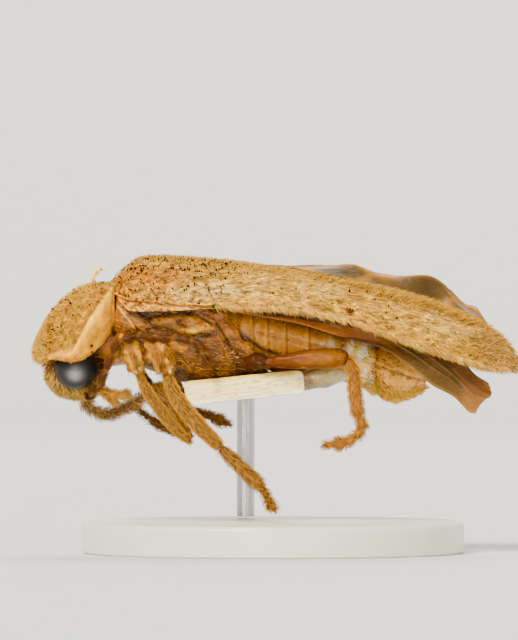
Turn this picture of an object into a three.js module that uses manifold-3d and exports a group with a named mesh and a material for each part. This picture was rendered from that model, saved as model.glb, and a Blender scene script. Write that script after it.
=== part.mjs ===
// A small female firefly as a museum keeps it: glued by its underside to a strip of card, on a plain stand.
// Millimetres, +Z up, +X towards the tail, +Y to the insect's right, origin under the middle of the base.
// Inside the insect, places are [along, across, up]: along from the front lip of the pronotum,
// across from the middle of the body, and up from the level of the lowest claw.
import * as THREE from "three";
import { mergeVertices } from "three/addons/utils/BufferGeometryUtils.js";
import Module from "manifold-3d";

const wasm = await Module();
wasm.setup();

// Driving dimensions
const BODY_LENGTH = 5.21; // front lip to the tips of the wing cases
const GAP = 0.02; // between pieces that meet
const WING_CASE = 0.05; // thickness of an elytron
const MEMBRANE = 0.036; // thickness of a folded hind wing
const VEIN = 0.022; // how far a main vein stands up from it
const CASE_ARCH = 2.4; // squareness of the arched section of an elytron
const FORE = { thigh: 0.052, shin: 0.036, foot: 0.03 }; // half widths of a front leg
const MID = { thigh: 0.076, shin: 0.064, foot: 0.044 };
const HIND = { thigh: 0.094, shin: 0.06, foot: 0.048 };
const EYE_RADIUS = 0.235;
const CARD = { width: 1.3, length: 2.5, thickness: 0.26, corner: 0.06, tilt: 0.1 };
const ROD_RADIUS = 0.1;
const BASE = { radius: 2.1, height: 0.35, edge: 0.05 };
const CLAW_CLEARANCE = 0.1; // from the base to the lowest claw
const INSECT_SHIFT = -0.3; // puts the weight over the middle of the base

// Looks
const look = (color, roughness, metalness = 0) =>
  new THREE.MeshStandardMaterial({ color, roughness, metalness });
const LOOKS = {
  ochre: () => look(0xc9a05c, 0.6),
  orange: () => look(0xb8752f, 0.5),
  brown: () => look(0x7a4a20, 0.5),
  purple: () => look(0x5a322c, 0.6),
  eye: () => look(0x17181a, 0.2),
  membrane: () => look(0x8a7060, 0.4),
  card: () => look(0xf6ead0, 0.9),
  glue: () => look(0xe8e2d4, 0.3),
  steel: () => look(0xb8babd, 0.35, 0.9),
  base: () => look(0xe4e2dc, 0.5),
};

// A smooth run of a size along the body, through pairs of [place, size], level beyond its ends
function run(...knots) {
  const slopes = knots.map((knot, i) => {
    const before = knots[Math.max(i - 1, 0)];
    const after = knots[Math.min(i + 1, knots.length - 1)];
    return (after[1] - before[1]) / (after[0] - before[0]);
  });
  return (place) => {
    let i = 0;
    while (i < knots.length - 2 && place > knots[i + 1][0]) i++;
    const [[x0, y0], [x1, y1]] = [knots[i], knots[i + 1]];
    const w = x1 - x0;
    const t = THREE.MathUtils.clamp((place - x0) / w, 0, 1);
    const rise = t * t * (3 - 2 * t);
    const lean = slopes[i] * w * t * (1 - t) * (1 - t);
    const land = slopes[i + 1] * w * t * t * (t - 1);
    return y0 + (y1 - y0) * rise + lean + land;
  };
}

// A closed surface as a solid, turned to face outwards if its rule ran the other way round
function solidOf(positions, index) {
  const geometry = new THREE.BufferGeometry();
  geometry.setAttribute("position", new THREE.Float32BufferAttribute(positions, 3));
  if (index) geometry.setIndex(index);
  const merged = mergeVertices(geometry, 1e-4);
  const triVerts = new Uint32Array(merged.index.array);
  const build = () =>
    new wasm.Manifold(
      new wasm.Mesh({ numProp: 3, vertProperties: merged.attributes.position.array, triVerts }),
    );
  const solid = build();
  if (solid.volume() > 0) return solid;
  for (let i = 0; i < triVerts.length; i += 3)
    [triVerts[i + 1], triVerts[i + 2]] = [triVerts[i + 2], triVerts[i + 1]];
  return build();
}

const solidFrom = ({ attributes, index }) =>
  solidOf(Array.from(attributes.position.array), index && Array.from(index.array));

// A sphere's grid carried to its place by a rule of two numbers: row, from 0 at one pole, and angle around
function skin(rule, rows, sides) {
  const sphere = new THREE.SphereGeometry(1, sides, rows);
  const { position, uv } = sphere.attributes;
  for (let i = 0; i < position.count; i++) {
    const row = Math.round((1 - uv.getY(i)) * rows);
    const place = rule(row, uv.getX(i) * 2 * Math.PI);
    position.setXYZ(i, place.x, place.y, place.z);
  }
  return solidFrom(sphere);
}

// A limb along a smooth path; stations are [share of the path, half width], closed by poles at both ends.
// Depth is its size across the body as a share of its width, and grow swells it on every side.
function limb(path, stations, { sides = 8, depth = 1, across = [0, 1, 0], grow = 0 } = {}) {
  const curve = new THREE.CatmullRomCurve3(path.map((p) => new THREE.Vector3(...p)));
  const length = curve.getLength();
  const aside = new THREE.Vector3(...across);
  const last = stations.length - 1;
  return skin(
    (row, angle) => {
      const [share, half] = stations[Math.min(row, last)];
      const end = share === stations[0][0] ? -grow : share === stations[last][0] ? grow : 0;
      const at = THREE.MathUtils.clamp(share, 0, 1);
      const ahead = curve.getTangentAt(at);
      const width = new THREE.Vector3().crossVectors(ahead, aside).normalize();
      const through = new THREE.Vector3().crossVectors(width, ahead);
      const size = row === 0 || row === last ? 0 : half + grow;
      return curve
        .getPointAt(at)
        .addScaledVector(ahead, end + (share - at) * length)
        .addScaledVector(width, size * Math.cos(angle))
        .addScaledVector(through, size * depth * Math.sin(angle));
    },
    last,
    sides,
  );
}

// Stations of a limb with rounded ends that swells or tapers between them, over part of its path
function tapering(sizes, { from = 0, to = 1, rows = 8, length = 1 } = {}) {
  const size = run(...sizes.map((value, i) => [i / (sizes.length - 1), value]));
  const stations = [[from, 0]];
  for (let i = 0; i <= rows; i++) {
    const t = 0.015 + 0.97 * (0.5 - 0.5 * Math.cos((Math.PI * (i + 0.6)) / (rows + 1.2)));
    const round = size(t) / length;
    const near = Math.min(t, 1 - t, round) / round;
    stations.push([from + (to - from) * t, size(t) * Math.sqrt(1 - (1 - near) ** 2)]);
  }
  stations.push([to, 0]);
  return stations;
}

// Stations of a jointed limb, each segment narrow at its root and widest near its end
function jointed(sizes, { from = 0, to = 1 } = {}) {
  const stations = [[from, 0]];
  sizes.forEach((size, i) => {
    for (const [share, width] of [[0.04, 0.62], [0.35, 0.9], [0.9, 1]])
      stations.push([from + ((to - from) * (i + share)) / sizes.length, size * width]);
  });
  stations.push([to, 0]);
  return stations;
}

// A body ring: oval sections between a top and an underside, with a flat face at each end.
// Wave adds the low steps of the plates, as a rule of the place along the body.
function trunk({ from, to, top, low, left, right, rows, sides, square = 2.3, wave = () => 0, grow = 0 }) {
  const last = rows + 2;
  return skin(
    (row, angle) => {
      const t = THREE.MathUtils.clamp((row - 1) / rows, 0, 1);
      const x = from - grow + (to - from + 2 * grow) * t;
      const shut = row === 0 || row === last ? 0 : 1;
      const swell = grow + wave(x);
      const [wide, tall] = [right(x) - left(x), top(x) - low(x)];
      const round = (share) => Math.sign(share) * Math.abs(share) ** (2 / square);
      return {
        x,
        y: (left(x) + right(x)) / 2 + shut * (wide / 2 + swell) * round(Math.cos(angle)),
        z: (top(x) + low(x)) / 2 + shut * (tall / 2 + swell) * round(Math.sin(angle)),
      };
    },
    last,
    sides,
  );
}

// A thin vane: a grid of middle points, set off to both faces along its own normal, with the cells of both
// faces split alike. Raise lifts the upper face where a vein runs.
function vane(rule, along, across, thickness, { raise = () => 0, grow = 0 } = {}) {
  const grid = new THREE.PlaneGeometry(1, 1, along, across);
  const spots = [];
  for (let j = 0; j <= across; j++)
    for (let i = 0; i <= along; i++) spots.push(rule(i / along, j / across));
  const at = (i, j) => spots[j * (along + 1) + i];
  const push = (a, b) => a.clone().add(a.clone().sub(b).setLength(grow));
  if (grow) {
    for (let j = 0; j <= across; j++) {
      spots[j * (along + 1)] = push(at(0, j), at(1, j));
      spots[j * (along + 1) + along] = push(at(along, j), at(along - 1, j));
    }
    for (let i = 0; i <= along; i++) {
      spots[i] = push(at(i, 0), at(i, 1));
      spots[across * (along + 1) + i] = push(at(i, across), at(i, across - 1));
    }
  }
  const upper = [];
  const lower = [];
  for (let j = 0; j <= across; j++)
    for (let i = 0; i <= along; i++) {
      const ahead = at(Math.min(i + 1, along), j).clone().sub(at(Math.max(i - 1, 0), j));
      const aside = at(i, Math.min(j + 1, across)).clone().sub(at(i, Math.max(j - 1, 0)));
      const out = new THREE.Vector3().crossVectors(aside, ahead).normalize();
      if (out.z < 0) out.negate();
      const half = thickness / 2 + grow;
      const high = at(i, j).clone().addScaledVector(out, half + raise(i / along, j / across));
      const deep = at(i, j).clone().addScaledVector(out, -half);
      upper.push(high.x, high.y, high.z);
      lower.push(deep.x, deep.y, deep.z);
    }
  const count = spots.length;
  const index = Array.from(grid.index.array);
  for (let k = 0; k < grid.index.count; k += 3) {
    const [a, b, c] = grid.index.array.slice(k, k + 3);
    index.push(a + count, c + count, b + count);
  }
  const rim = [];
  for (let i = 0; i < along; i++) rim.push(i);
  for (let j = 0; j < across; j++) rim.push(j * (along + 1) + along);
  for (let i = along; i > 0; i--) rim.push(across * (along + 1) + i);
  for (let j = across; j > 0; j--) rim.push(j * (along + 1));
  rim.forEach((a, k) => {
    const b = rim[(k + 1) % rim.length];
    index.push(a, b, b + count, a, b + count, a + count);
  });
  return solidOf([...upper, ...lower], index);
}

// Cuts cutters out of a solid and keeps its largest piece
function carve(solid, ...cutters) {
  const cut = cutters.reduce((left, cutter) => left.subtract(cutter), solid);
  return cut.decompose().reduce((best, piece) => (piece.volume() > best.volume() ? piece : best));
}

const insect = new THREE.Group();
insect.position.set(-BODY_LENGTH / 2, INSECT_SHIFT, BASE.height + CLAW_CLEARANCE);

function add(name, solid, material, parent = insect) {
  const mesh = solid.getMesh();
  const geometry = new THREE.BufferGeometry();
  geometry.setAttribute("position", new THREE.BufferAttribute(mesh.vertProperties, 3));
  geometry.setIndex(new THREE.BufferAttribute(mesh.triVerts, 1));
  geometry.computeVertexNormals();
  const piece = new THREE.Mesh(geometry, material);
  piece.name = name;
  parent.add(piece);
}

// Card: a strip with rounded edges that passes under the body, tilted a little along it
function cardStrip(grow = 0) {
  const [w, t, r] = [CARD.width / 2 + grow, CARD.thickness / 2 + grow, CARD.corner + grow];
  const outline = new THREE.Shape();
  outline.moveTo(-w + r, -t);
  outline.lineTo(w - r, -t).absarc(w - r, -t + r, r, -Math.PI / 2, 0);
  outline.lineTo(w, t - r).absarc(w - r, t - r, r, 0, Math.PI / 2);
  outline.lineTo(-w + r, t).absarc(-w + r, t - r, r, Math.PI / 2, Math.PI);
  outline.lineTo(-w, -t + r).absarc(-w + r, -t + r, r, Math.PI, Math.PI * 1.5);
  const strip = new THREE.ExtrudeGeometry(outline, {
    depth: CARD.length + 2 * grow,
    bevelEnabled: false,
    curveSegments: 3,
  });
  strip.translate(0, 0, -CARD.length - grow);
  strip.rotateX(Math.PI / 2);
  strip.rotateY(-CARD.tilt);
  strip.translate(2.29, -0.68, 1.38);
  return solidFrom(strip);
}
const cardGrown = cardStrip(GAP);

// Wing cases: each a shell arched from the suture to the side margin, splayed a little at the tail
const caseTop = run([0.82, 2.52], [1.02, 2.67], [1.21, 2.75], [1.61, 2.75], [2.46, 2.66],
  [3.11, 2.54], [3.62, 2.43], [4.21, 2.29], [4.8, 2.06], [5.06, 1.87], [5.21, 1.67]);
const caseLow = run([0.87, 2.37], [1.02, 2.27], [1.26, 2.21], [1.61, 2.25], [2.24, 2.27],
  [2.63, 2.25], [3.03, 2.19], [3.42, 2.1], [3.81, 1.96], [4.21, 1.81], [4.6, 1.69], [4.89, 1.61], [5.21, 1.6]);
const SIDES = {
  left: {
    suture: run([0.9, 0.02], [1.13, 0.03], [1.53, 0.07], [2.53, 0.03], [3.89, -0.07], [4.57, -0.16],
      [4.87, -0.24], [5.06, -0.34], [5.21, -0.5]),
    margin: run([0.84, -0.56], [0.91, -0.76], [1.08, -0.92], [1.25, -1.01], [1.53, -1.09], [1.89, -1.14],
      [2.53, -1.19], [3.89, -1.2], [4.29, -1.14], [4.57, -1.04], [4.87, -0.91], [5.1, -0.76], [5.21, -0.62]),
    base: run([0, 1.12], [0.3, 0.91], [0.6, 0.86], [0.85, 0.9], [1, 1.03]),
    tip: BODY_LENGTH,
  },
  right: {
    suture: run([0.9, 0.16], [1.09, 0.14], [1.44, 0.2], [1.89, 0.26], [2.73, 0.36], [3.31, 0.42],
      [3.89, 0.5], [4.47, 0.55], [4.87, 0.57], [5.1, 0.62]),
    margin: run([0.77, 0.6], [0.91, 0.79], [1.17, 0.9], [1.44, 0.98], [1.8, 1.07], [2.26, 1.16],
      [3.19, 1.24], [3.89, 1.2], [4.29, 1.14], [4.57, 1.04], [4.87, 0.91], [5.05, 0.77], [5.1, 0.7]),
    base: run([0, 1.1], [0.3, 0.88], [0.6, 0.8], [0.85, 0.82], [1, 0.95]),
    tip: 5.1,
  },
};
const crowd = (u) => u - 0.11 * Math.sin(2 * Math.PI * u); // rows closer together at both ends
function caseSpot(side, u, v) {
  const { suture, margin, base, tip } = SIDES[side];
  const x = base(v) + (tip - base(v)) * u;
  const turn = (v * Math.PI) / 2;
  const out = Math.sin(turn) ** (2 / CASE_ARCH);
  const up = Math.cos(turn) ** (2 / CASE_ARCH);
  const [low, high] = [caseLow(x), caseTop(x)];
  return new THREE.Vector3(x, suture(x) + (margin(x) - suture(x)) * out, low + (high - low) * up);
}
const wingCase = (side, grow = 0) =>
  vane((u, v) => caseSpot(side, crowd(u), v), 24, 10, WING_CASE, { grow });
const cases = [wingCase("left", GAP), wingCase("right", GAP)];

// Hind wings: membranes in lengthwise folds, the left one hanging out below its case and behind the
// abdomen, the right one standing up in the gap between the cases and lying over the left case's edge
const pleat = (v, folds) => Math.sin(v * folds * Math.PI);
const LEFT_WING = {
  start: 1.5,
  end: run([0, 4.9], [0.5, 4.97], [1, 4.8]),
  inner: run([1.5, -0.25], [2.5, -0.3], [4.0, -0.35], [4.97, -0.45]),
  outer: run([1.5, -0.72], [2.2, -0.95], [2.9, -1.08], [3.6, -1.04], [4.1, -0.95], [4.5, -0.8], [4.97, -0.66]),
  high: run([1.5, 2.5], [2.5, 2.5], [3.1, 2.4], [3.6, 2.28], [4.0, 2.14], [4.3, 1.98], [4.55, 1.76],
    [4.8, 1.5], [4.97, 1.36]),
  low: run([1.5, 2.4], [2.2, 2.2], [2.89, 2.07], [3.35, 1.93], [3.62, 1.86], [3.82, 1.79],
    [4.1, 1.59], [4.32, 1.41], [4.56, 1.28], [4.76, 1.1], [4.97, 1.16]),
};
function leftWingSpot(u, v) {
  const w = LEFT_WING;
  const x = w.start + (w.end(v) - w.start) * u;
  const turn = (v * Math.PI) / 2;
  const fold = 0.022 * pleat(v, 5) * Math.min(1, u * 3);
  return new THREE.Vector3(
    x,
    w.inner(x) + (w.outer(x) - w.inner(x)) * Math.sin(turn) ** 0.9 + fold * Math.sin(turn),
    w.low(x) + (w.high(x) - w.low(x)) * Math.cos(turn) ** 0.9 + fold * Math.cos(turn),
  );
}
const RIGHT_WING = {
  start: 1.5,
  end: run([0, 5.02], [0.3, 5.15], [0.6, 5.08], [1, 5.02]),
  inner: run([1.5, 0.2], [1.97, 0.2], [2.54, 0.05], [3.05, -0.2], [3.4, -0.17], [3.75, -0.12], [4.06, -0.05],
    [4.35, 0.12], [4.5, 0.13], [4.75, -0.05], [4.95, -0.18], [5.08, -0.14], [5.15, -0.06]),
  outer: run([1.5, 0.6], [2.5, 0.82], [3.5, 0.9], [4.2, 0.88], [4.6, 0.66], [4.87, 0.42], [5.15, 0.26]),
  ridge: run([1.5, 2.56], [2.0, 2.6], [2.5, 2.66], [2.89, 2.66], [3.27, 2.69], [3.48, 2.71], [3.74, 2.6],
    [3.94, 2.58], [4.21, 2.6], [4.4, 2.57], [4.55, 2.44], [4.71, 2.27], [4.83, 2.21], [4.98, 1.99], [5.15, 1.78]),
  edge: run([1.5, 2.5], [2.0, 2.56], [2.4, 2.68], [2.8, 2.67], [3.05, 2.62], [3.5, 2.53], [3.9, 2.44], [4.3, 2.3],
    [4.8, 2.12], [5.15, 1.76]),
  tuck: run([1.5, 2.44], [2.5, 2.4], [3.1, 2.28], [3.62, 2.16], [4.2, 2.0], [4.8, 1.84], [5.15, 1.7]),
};
function rightWingSpot(u, v) {
  const w = RIGHT_WING;
  const x = w.start + (w.end(v) - w.start) * u;
  const [near, far] = [w.inner(x), w.outer(x)];
  const lip = Math.min(SIDES.right.suture(x) - 0.08, far - 0.04);
  const crest = run([near, w.edge(x)], [near + 0.5 * (lip - near), w.ridge(x)], [lip, w.tuck(x) + 0.03],
    [far, w.tuck(x)]);
  const y = near + (far - near) * v;
  const fold = 0.014 * pleat(v, 6) * Math.min(1, u * 3);
  return new THREE.Vector3(x, y, crest(y) + fold);
}
// The main veins run lengthwise and lean towards the tip
const veins = (lines) => (u, v) => {
  const near = Math.min(...lines.map(([root, tip]) => Math.abs(v - root - (tip - root) * u)));
  return near < 0.045 && u > 0.02 && u < 0.97 ? VEIN : 0;
};
const VEIN_LINES = [[0.1, 0.2], [0.4, 0.3], [0.6, 0.7], [0.9, 0.8]];
const leftWing = (grow = 0) =>
  vane(leftWingSpot, 24, 10, MEMBRANE, { raise: grow ? () => VEIN : veins(VEIN_LINES), grow });
const rightWing = (grow = 0) =>
  vane(rightWingSpot, 24, 10, MEMBRANE, { raise: grow ? () => VEIN : veins(VEIN_LINES), grow });
const wings = [leftWing(GAP), rightWing(GAP)];

// Eyes and head: the face is turned down and back under the pronotum
const HEAD_MIDDLE = -0.15;
function eye(side, grow = 0) {
  const ball = new THREE.SphereGeometry(EYE_RADIUS + grow, 18, 12);
  ball.rotateX(Math.PI / 2);
  ball.scale(1, 0.95, 1);
  ball.translate(0.455, HEAD_MIDDLE + side * 0.36, 1.6);
  return solidFrom(ball);
}
const headShape = (grow = 0) =>
  trunk({
    from: 0.115,
    to: 0.77,
    top: run([0.115, 1.62], [0.16, 1.72], [0.3, 1.8], [0.6, 1.82], [0.77, 1.72]),
    low: run([0.115, 1.52], [0.16, 1.43], [0.25, 1.33], [0.36, 1.285], [0.52, 1.27], [0.66, 1.31], [0.77, 1.4]),
    left: run([0.115, -0.3], [0.2, -0.47], [0.4, -0.55], [0.6, -0.52], [0.77, -0.44]),
    right: run([0.115, 0.0], [0.2, 0.17], [0.4, 0.25], [0.6, 0.22], [0.77, 0.14]),
    rows: 10,
    sides: 20,
    square: 2.1,
    grow,
  });

// Pronotum: an arched shield whose rim runs low over the eye and then climbs to the hind corner; below
// that climbing rim the smooth side folds inwards to the neck
const SHIELD = {
  start: 0,
  end: 0.85,
  top: run([0, 1.76], [0.03, 1.86], [0.09, 1.99], [0.21, 2.21], [0.39, 2.38], [0.51, 2.45], [0.66, 2.49], [0.85, 2.5]),
  rim: run([0, 1.71], [0.1, 1.69], [0.25, 1.73], [0.42, 1.75], [0.49, 1.87], [0.62, 2.12], [0.85, 2.46]),
  low: run([0, 1.68], [0.1, 1.65], [0.24, 1.71], [0.42, 1.67], [0.51, 1.67], [0.62, 1.71], [0.74, 1.8], [0.85, 1.93]),
  left: run([0, -0.2], [0.02, -0.37], [0.09, -0.53], [0.2, -0.68], [0.33, -0.87], [0.49, -0.98], [0.66, -0.92], [0.85, -0.75]),
  right: run([0, -0.1], [0.05, 0.03], [0.14, 0.16], [0.25, 0.32], [0.42, 0.54], [0.55, 0.64], [0.68, 0.67], [0.85, 0.58]),
};
function shield(grow = 0) {
  const rows = 16;
  const last = rows + 2;
  const { start, end, top, rim, low, left, right } = SHIELD;
  return skin(
    (row, angle) => {
      const t = THREE.MathUtils.clamp((row - 1) / rows, 0, 1);
      let x = start - grow + (end - start + 2 * grow) * (0.6 * t ** 1.7 + 0.4 * t);
      const shut = row === 0 || row === last ? 0 : 1;
      const [c, s] = [Math.cos(angle), Math.sin(angle)];
      const half = (right(x) - left(x)) / 2 + grow;
      const centre = (left(x) + right(x)) / 2;
      const middle = (rim(x) + low(x)) / 2 + 0.1;
      const arch = rim(x) + (top(x) + grow - rim(x)) * Math.abs(s) ** 0.85;
      const under = rim(x) - (rim(x) - low(x) + grow) * Math.abs(s) ** 0.45 + 0.1 * s ** 4;
      const z = s > 1e-6 ? arch : s < -1e-6 ? under : rim(x);
      const y = centre + shut * half * Math.sign(c) * Math.abs(c) ** 0.9;
      x -= s > 0 && shut ? 0.11 * t ** 6 * Math.max(0, 1 - (Math.abs(y) / 0.5) ** 2) : 0;
      return { x, y, z: middle + shut * (z - middle) };
    },
    last,
    26,
  );
}
const headSolid = carve(headShape(), eye(-1, GAP), eye(1, GAP));
const headGrown = headShape(GAP);
const shieldGrown = shield(GAP);
const shieldSolid = carve(shield(), headGrown, eye(-1, GAP), eye(1, GAP), ...cases);

// Trunk of the body
const prothoraxShape = (grow = 0) =>
  trunk({
    from: 0.6,
    to: 1.08,
    top: run([0.6, 2.1], [1.08, 2.2]),
    low: run([0.6, 1.62], [0.8, 1.6], [1.08, 1.66]),
    left: run([0.6, -0.4], [0.9, -0.46], [1.08, -0.44]),
    right: run([0.6, 0.28], [0.9, 0.38], [1.08, 0.38]),
    rows: 5,
    sides: 16,
    grow,
  });
const mesothoraxShape = (grow = 0) =>
  trunk({
    from: 0.86,
    to: 1.42,
    top: run([0.86, 2.43], [1.0, 2.55], [1.2, 2.68], [1.42, 2.66]),
    low: run([0.86, 1.92], [1.0, 1.74], [1.15, 1.62], [1.42, 1.53]),
    left: run([0.86, -0.7], [1.0, -0.78], [1.42, -0.8]),
    right: run([0.86, 0.68], [1.0, 0.78], [1.42, 0.82]),
    rows: 7,
    sides: 20,
    square: 2.8,
    grow,
  });
const metathoraxShape = (grow = 0) =>
  trunk({
    from: 1.42 + GAP,
    to: 2.5,
    top: run([1.44, 2.62], [2.0, 2.56], [2.5, 2.42]),
    low: run([1.44, 1.52], [1.7, 1.43], [2.1, 1.44], [2.5, 1.54]),
    left: run([1.44, -0.74], [1.8, -0.8], [2.2, -0.78], [2.5, -0.72]),
    right: run([1.44, 0.7], [1.8, 0.78], [2.2, 0.76], [2.5, 0.7]),
    rows: 8,
    sides: 20,
    square: 2.5,
    grow,
  });
const SEGMENT_STARTS = [2.5, 2.74, 2.99, 3.24, 3.48, 3.72, 3.95, 4.3];
function plates(x) {
  const i = SEGMENT_STARTS.findLastIndex((start) => x >= start - 1e-6);
  const [a, b] = [SEGMENT_STARTS[Math.max(i, 0)], SEGMENT_STARTS[Math.max(i, 0) + 1] ?? 4.3];
  const share = THREE.MathUtils.clamp((x - a) / (b - a), 0, 1);
  return 0.022 * share - 0.012;
}
const abdomenShape = (grow = 0) =>
  trunk({
    from: 2.5 + GAP,
    to: 4.26,
    top: run([2.5, 2.4], [3.0, 2.22], [3.5, 2.04], [3.93, 1.8], [4.15, 1.62], [4.26, 1.5]),
    low: run([2.5, 1.55], [3.0, 1.5], [3.62, 1.39], [3.93, 1.26], [4.12, 1.3], [4.26, 1.4]),
    left: run([2.5, -0.7], [3.0, -0.76], [3.5, -0.7], [3.93, -0.46], [4.15, -0.26], [4.26, -0.1]),
    right: run([2.5, 0.7], [3.0, 0.76], [3.5, 0.7], [3.93, 0.46], [4.15, 0.26], [4.26, 0.1]),
    rows: 26,
    sides: 20,
    square: 2.2,
    wave: plates,
    grow,
  });

const scutellumShape = (grow = 0) => {
  const tongue = new THREE.SphereGeometry(1, 14, 8);
  tongue.scale(0.18 + grow, 0.16 + grow, 0.05 + grow);
  tongue.rotateY(-0.5);
  tongue.translate(0.96, 0.03, 2.56);
  return solidFrom(tongue);
};

const prothorax = carve(prothoraxShape(), headGrown, eye(-1, GAP), eye(1, GAP), shieldGrown);
const prothoraxGrown = prothoraxShape(GAP);
const scutellum = carve(scutellumShape(), shieldGrown, ...cases);
const mesothorax = carve(mesothoraxShape(), shieldGrown, prothoraxGrown, scutellumShape(GAP), ...cases, ...wings);
const metathorax = carve(metathoraxShape(), cardGrown, ...cases, ...wings);
const abdomen = carve(abdomenShape(), cardGrown, ...cases, ...wings);
const trunkGrown = [prothoraxGrown, mesothoraxShape(GAP), metathoraxShape(GAP), abdomenShape(GAP)];

// Legs, each from its hip plate to its claws, as the joints between them: every piece runs from one joint
// to the next, and is then cut clear of the piece before it
const LEGS = {
  fore_left: {
    size: FORE,
    hip: 0.12,
    coxa: [[0.99, -0.56, 1.98], [1.04, -0.7, 1.8], [1.12, -0.68, 1.58]],
    femur: [[1.12, -0.68, 1.58], [1.22, -0.66, 1.36], [1.35, -0.63, 1.16], [1.51, -0.6, 0.96], [1.7, -0.57, 0.79]],
    tibia: [[1.71, -0.56, 0.82], [1.63, -0.54, 1.0], [1.47, -0.5, 1.2], [1.33, -0.46, 1.38]],
    tarsus: [[1.33, -0.46, 1.38], [1.38, -0.35, 1.38], [1.48, -0.27, 1.33], [1.6, -0.24, 1.25]],
  },
  fore_right: {
    size: FORE,
    hip: 0.12,
    coxa: [[0.99, 0.52, 1.98], [1.04, 0.66, 1.8], [1.12, 0.64, 1.58]],
    femur: [[1.12, 0.64, 1.58], [1.25, 0.6, 1.36], [1.36, 0.56, 1.18], [1.5, 0.5, 0.99], [1.64, 0.44, 0.83]],
    tibia: [[1.65, 0.43, 0.82], [1.47, 0.36, 0.9], [1.35, 0.31, 0.96], [1.25, 0.28, 1.03]],
    tarsus: [[1.25, 0.28, 1.03], [1.17, 0.24, 1.09], [1.1, 0.2, 1.16], [1.02, 0.14, 1.2]],
  },
  mid_left: {
    size: MID,
    hip: 0.13,
    coxa: [[1.29, -0.6, 1.96], [1.36, -0.76, 1.78], [1.44, -0.72, 1.56]],
    femur: [[1.44, -0.72, 1.56], [1.52, -0.71, 1.34], [1.66, -0.7, 1.12], [1.85, -0.69, 0.91], [2.03, -0.67, 0.73]],
    tibia: [[2.03, -0.67, 0.73], [2.16, -0.68, 0.6], [2.33, -0.69, 0.44], [2.47, -0.7, 0.3]],
    tarsus: [[2.47, -0.7, 0.3], [2.53, -0.74, 0.2], [2.58, -0.78, 0.1], [2.62, -0.83, 0.05]],
  },
  mid_right: {
    size: MID,
    hip: 0.13,
    coxa: [[1.29, 0.56, 1.96], [1.36, 0.74, 1.78], [1.44, 0.72, 1.58]],
    femur: [[1.44, 0.72, 1.58], [1.48, 0.82, 1.46], [1.53, 0.92, 1.33], [1.58, 1.0, 1.19]],
    tibia: [[1.58, 1.0, 1.19], [1.61, 0.8, 1.11], [1.68, 0.55, 1.08], [1.75, 0.29, 1.08]],
    tarsus: [[1.75, 0.29, 1.08], [1.86, 0.18, 1.07], [1.98, 0.08, 1.03], [2.12, -0.02, 0.97]],
  },
  hind_left: {
    size: HIND,
    hip: 0.12,
    coxa: [[2.14, -0.4, 1.66], [2.34, -0.62, 1.68], [2.52, -0.8, 1.65]],
    femur: [[2.52, -0.8, 1.65], [2.75, -0.82, 1.67], [3.05, -0.83, 1.69], [3.42, -0.84, 1.71]],
    tibia: [[3.41, -0.84, 1.7], [3.47, -0.84, 1.53], [3.49, -0.84, 1.31], [3.53, -0.84, 1.06]],
    tarsus: [[3.53, -0.84, 1.06], [3.57, -0.84, 0.94], [3.5, -0.84, 0.85], [3.36, -0.84, 0.78], [3.16, -0.84, 0.76]],
  },
  hind_right: {
    size: HIND,
    hip: 0.12,
    coxa: [[2.14, 0.4, 1.68], [2.34, 0.62, 1.7], [2.52, 0.78, 1.69]],
    femur: [[2.52, 0.78, 1.69], [2.75, 0.85, 1.72], [3.0, 0.9, 1.75], [3.32, 0.95, 1.78]],
    tibia: [[3.32, 0.95, 1.78], [3.55, 0.93, 1.71], [3.75, 0.88, 1.65], [3.95, 0.83, 1.58]],
    tarsus: [[3.95, 0.83, 1.58], [4.08, 0.79, 1.55], [4.2, 0.74, 1.52], [4.34, 0.68, 1.5]],
  },
};
const pathLength = (path) =>
  new THREE.CatmullRomCurve3(path.map((p) => new THREE.Vector3(...p))).getLength();
const sideways = (path) => {
  const [a, b] = [new THREE.Vector3(...path[0]), new THREE.Vector3(...path.at(-1))];
  const way = b.sub(a).normalize();
  return Math.abs(way.y) > 0.7 ? [0, 0, 1] : [0, 1, 0];
};
function legPiece(path, sizes, rows, grow) {
  const stations = tapering(sizes, { rows, length: pathLength(path) });
  return limb(path, stations, { depth: 0.85, across: sideways(path), grow });
}
function foot(path, half, grow = 0) {
  const across = sideways(path);
  const pads = [1, 0.92, 0.9, 1.2, 0.62].map((share) => share * half);
  const sole = limb(path, jointed(pads), { sides: 6, depth: 1.1, across, grow });
  if (grow) return sole;
  const curve = new THREE.CatmullRomCurve3(path.map((p) => new THREE.Vector3(...p)));
  const [tip, ahead] = [curve.getPointAt(0.97), curve.getTangentAt(1)];
  const aside = new THREE.Vector3(...across);
  const down = new THREE.Vector3().crossVectors(ahead, aside).normalize();
  if (down.z > 0) down.negate();
  return [-1, 1].reduce((joined, side) => {
    const claw = [[-0.5, 0, 0], [0.6, 0.45, 0.1], [1.5, 0.7, 0.6]].map(([forth, out, drop]) =>
      tip.clone()
        .addScaledVector(ahead, forth * half)
        .addScaledVector(aside, side * out * half)
        .addScaledVector(down, drop * half)
        .toArray(),
    );
    const hook = [[0, 0], [0.15, 0.3 * half], [0.6, 0.26 * half], [1, 0]];
    return joined.add(limb(claw, hook, { sides: 4, across }));
  }, sole);
}
const legSolids = [];
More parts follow.
